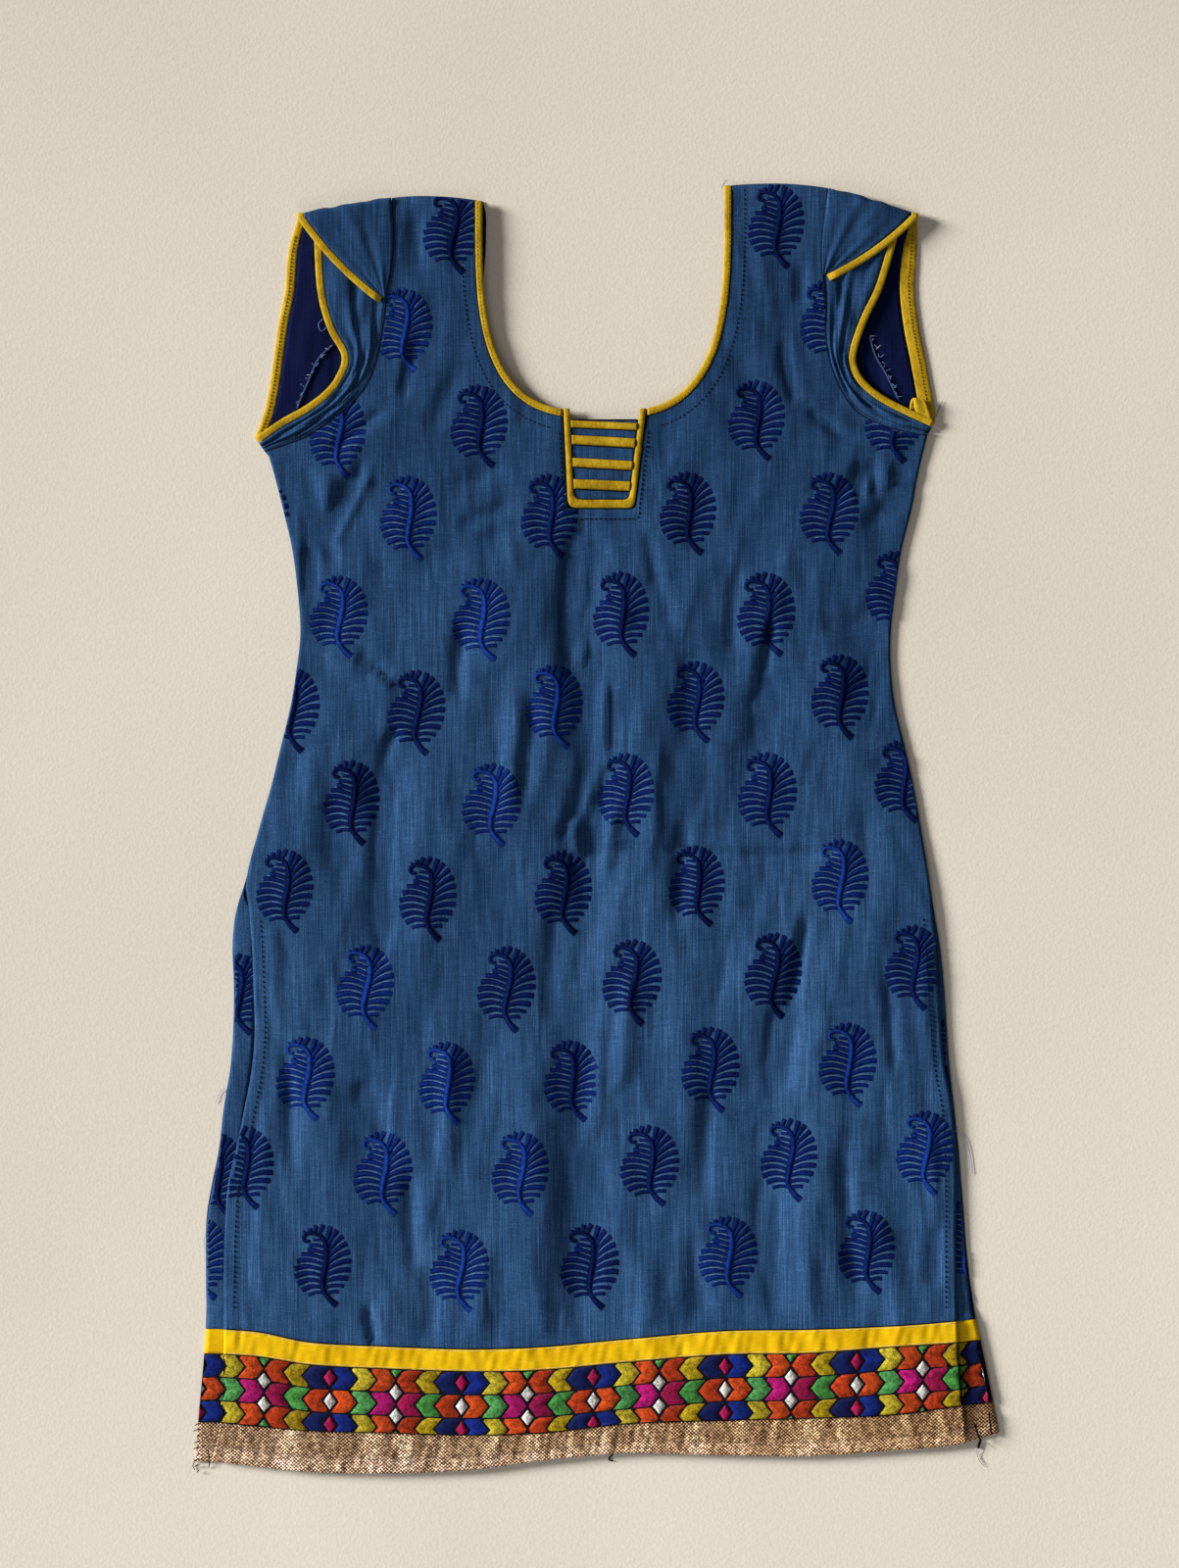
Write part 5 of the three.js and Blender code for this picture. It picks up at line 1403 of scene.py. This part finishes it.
# Threads: points in pixels of the photograph, colour, radius, heights
LOOSE_THREADS = [
    ([(230, 1110), (224, 1116), (222, 1122), (220, 1126)], PALE),
    ([(211, 1255), (208, 1268), (211, 1280), (210, 1292)], PALE),
    ([(974, 1153), (984, 1162), (990, 1178), (993, 1199)], PALE, 0.18, (2.6, 1.2, 0.5, 0.4)),
    ([(988, 1318), (993, 1322), (995, 1330)], PALE),
    ([(962, 409), (958, 417), (955, 426)], RUST_THREAD),
    ([(623, 1478), (625, 1484), (621, 1489), (626, 1491)], BLACK_THREAD_AND_SHADE, 0.5),
    ([(996, 1464), (1002, 1476), (999, 1486), (1004, 1494)], WHITE_THREAD),
    ([(736, 192), (739, 187), (742, 184)], DARK_SEAM_AND_SHADOW, 0.2, (3.0, 3.4, 3.2)),
    ([(340, 352), (325, 367), (313, 394), (303, 417)], FRAY, 0.8, (2.2, 2.0, 1.9, 1.9)),
    ([(887, 340), (893, 362), (904, 381), (917, 408)], FRAY, 0.8, (2.2, 2.0, 1.9, 1.9)),
]
CUT_ENDS = [
    ([(201, 1488), (197, 1495), (199, 1500)], BLACK_THREAD_AND_SHADE, 0.3, (1.6, 0.9, 0.5)),
    ([(212, 1478), (214, 1488), (213, 1498)], BLACK_THREAD_AND_SHADE, 0.35, (5.6, 3.0, 0.6)),
    ([(994, 1452), (998, 1464), (1001, 1470)], BLACK_THREAD_AND_SHADE, 0.8, (6.6, 5.4, 4.0)),
    ([(1009, 1440), (1010, 1452), (1012, 1464)], BLACK_THREAD_AND_SHADE, 0.7, (4.0, 4.0, 3.4)),
    ([(1000, 1470), (998, 1478)], BLACK_THREAD_AND_SHADE, 0.9, (1.2, 0.9)),
    ([(996, 1480), (999, 1490), (1005, 1497)], BLACK_THREAD_AND_SHADE, 0.15),
    ([(1000, 1468), (1008, 1474), (1014, 1478)], WHITE_THREAD, 0.15),
]


for thread in LOOSE_THREADS:
    loose_thread(*thread)
# Frayed seam allowances inside the sleeves
for number in range(15):
    t = number / 14
    left = (339 - 33 * t - 5 * math.sin(math.pi * t), 353 + 60 * t)
    right = (888 + 28 * t, 343 + 62 * t)
    for (a, b), way in ((left, -1), (right, 1)):
        reach = 3.2 + 2.2 * math.sin(number * 4.1 + way)
        lean = 2.6 * math.sin(number * 2.7)
        tone = WHITE_THREAD if number in (0, 1, 3, 7) else PALE
        points = [(a, b), (a + way * reach * 0.6, b - lean), (a + way * reach, b - lean * 1.6)]
        loose_thread(points, tone, 0.2, (2.6, 2.7, 2.3))
loose_thread([(330, 325), (325, 331), (328, 338), (334, 333)], PALE, 0.22, (1.9, 2.1, 2.1, 2.0))
# Cut ends at the corners of the hem
for number in range(9):
    y = 1452 + 6 * number
    loose_thread([(203, y), (199 - 2 * math.sin(number * 2.2), y + 2.5)], BLACK_THREAD_AND_SHADE, 0.4, (2.0, 1.6))
for thread in CUT_ENDS:
    loose_thread(*thread)
loose_piece = loose.piece("loose_threads", SEWING, "cloth")

# A short end of binding folded over at the right underarm
near, far = (curve_through(from_photo(line), 24) for line in (LOOP_NEAR, LOOP_FAR))
tall = np.interp(np.linspace(0, len(LOOP_Z) - 1, 24), np.arange(len(LOOP_Z)), LOOP_Z)
share, sway = np.linspace(0, 1, 7)[:, None], 0.3 * np.sin(np.linspace(0, 7, 7))
folded = [np.column_stack([mix(a, b, share), z + sway]) for a, b, z in zip(near, far, tall)]
loop_piece = make("binding_right_loop", strip(folded, 0.6, 0.3), [YELLOW])
# The stitches also hold the painted shade lines round the yoke.
stitch_piece = stitches.piece("stitches", SEWING, "binding")


# Floor, light and camera

FLOOR_HALF, FLOOR_DOWN = 3000.0, -0.3
corners = [(x * FLOOR_HALF, y * FLOOR_HALF, FLOOR_DOWN) for x, y in ((-1, -1), (1, -1), (1, 1), (-1, 1))]
mesh = bpy.data.meshes.new("floor")
mesh.from_pydata((np.array(corners) * MM).tolist(), [], [(0, 1, 2, 3)])
mesh.materials.append(floor_material())
floor = bpy.data.objects.new("floor", mesh)
bpy.context.scene.collection.objects.link(floor)


def lamp(name, kind, energy, place, colour):
    """A light that points at the origin."""
    data = bpy.data.lights.new(name, kind)
    data.energy, data.color = energy, colour
    holder = bpy.data.objects.new(name, data)
    holder.location = place
    holder.rotation_euler = (-Vector(place)).to_track_quat("-Z", "Y").to_euler()
    bpy.context.scene.collection.objects.link(holder)
    return data


lamp("key", "SUN", 6.9, (-1.9, 0.5, 0.68), (1.0, 0.97, 0.92)).angle = 0.3
fill = lamp("fill", "AREA", 10, (-0.3, -1.7, 1.4), (0.96, 0.97, 0.98))
fill.shape, fill.size = "DISK", 1.5

world = bpy.data.worlds.new("studio")
world.use_nodes = True
backdrop = world.node_tree.nodes["Background"]
backdrop.inputs["Color"].default_value = (1.0, 0.94, 0.87, 1)
backdrop.inputs["Strength"].default_value = 0.13
bpy.context.scene.world = world
bpy.context.scene.view_settings.view_transform = "Standard"

# The camera's height, and the photograph's height and middle on the floor
HEIGHT = 6.0
VIEW_TALL = 1.12
VIEW_MIDDLE = (-0.005075, 0.0315)
SENSOR = 24.0
data = bpy.data.cameras.new("camera")
data.sensor_fit = "VERTICAL"
data.sensor_height = SENSOR
data.lens = SENSOR * HEIGHT / VIEW_TALL
camera = bpy.data.objects.new("camera", data)
camera.location = (*VIEW_MIDDLE, HEIGHT)
bpy.context.scene.collection.objects.link(camera)
bpy.context.scene.camera = camera
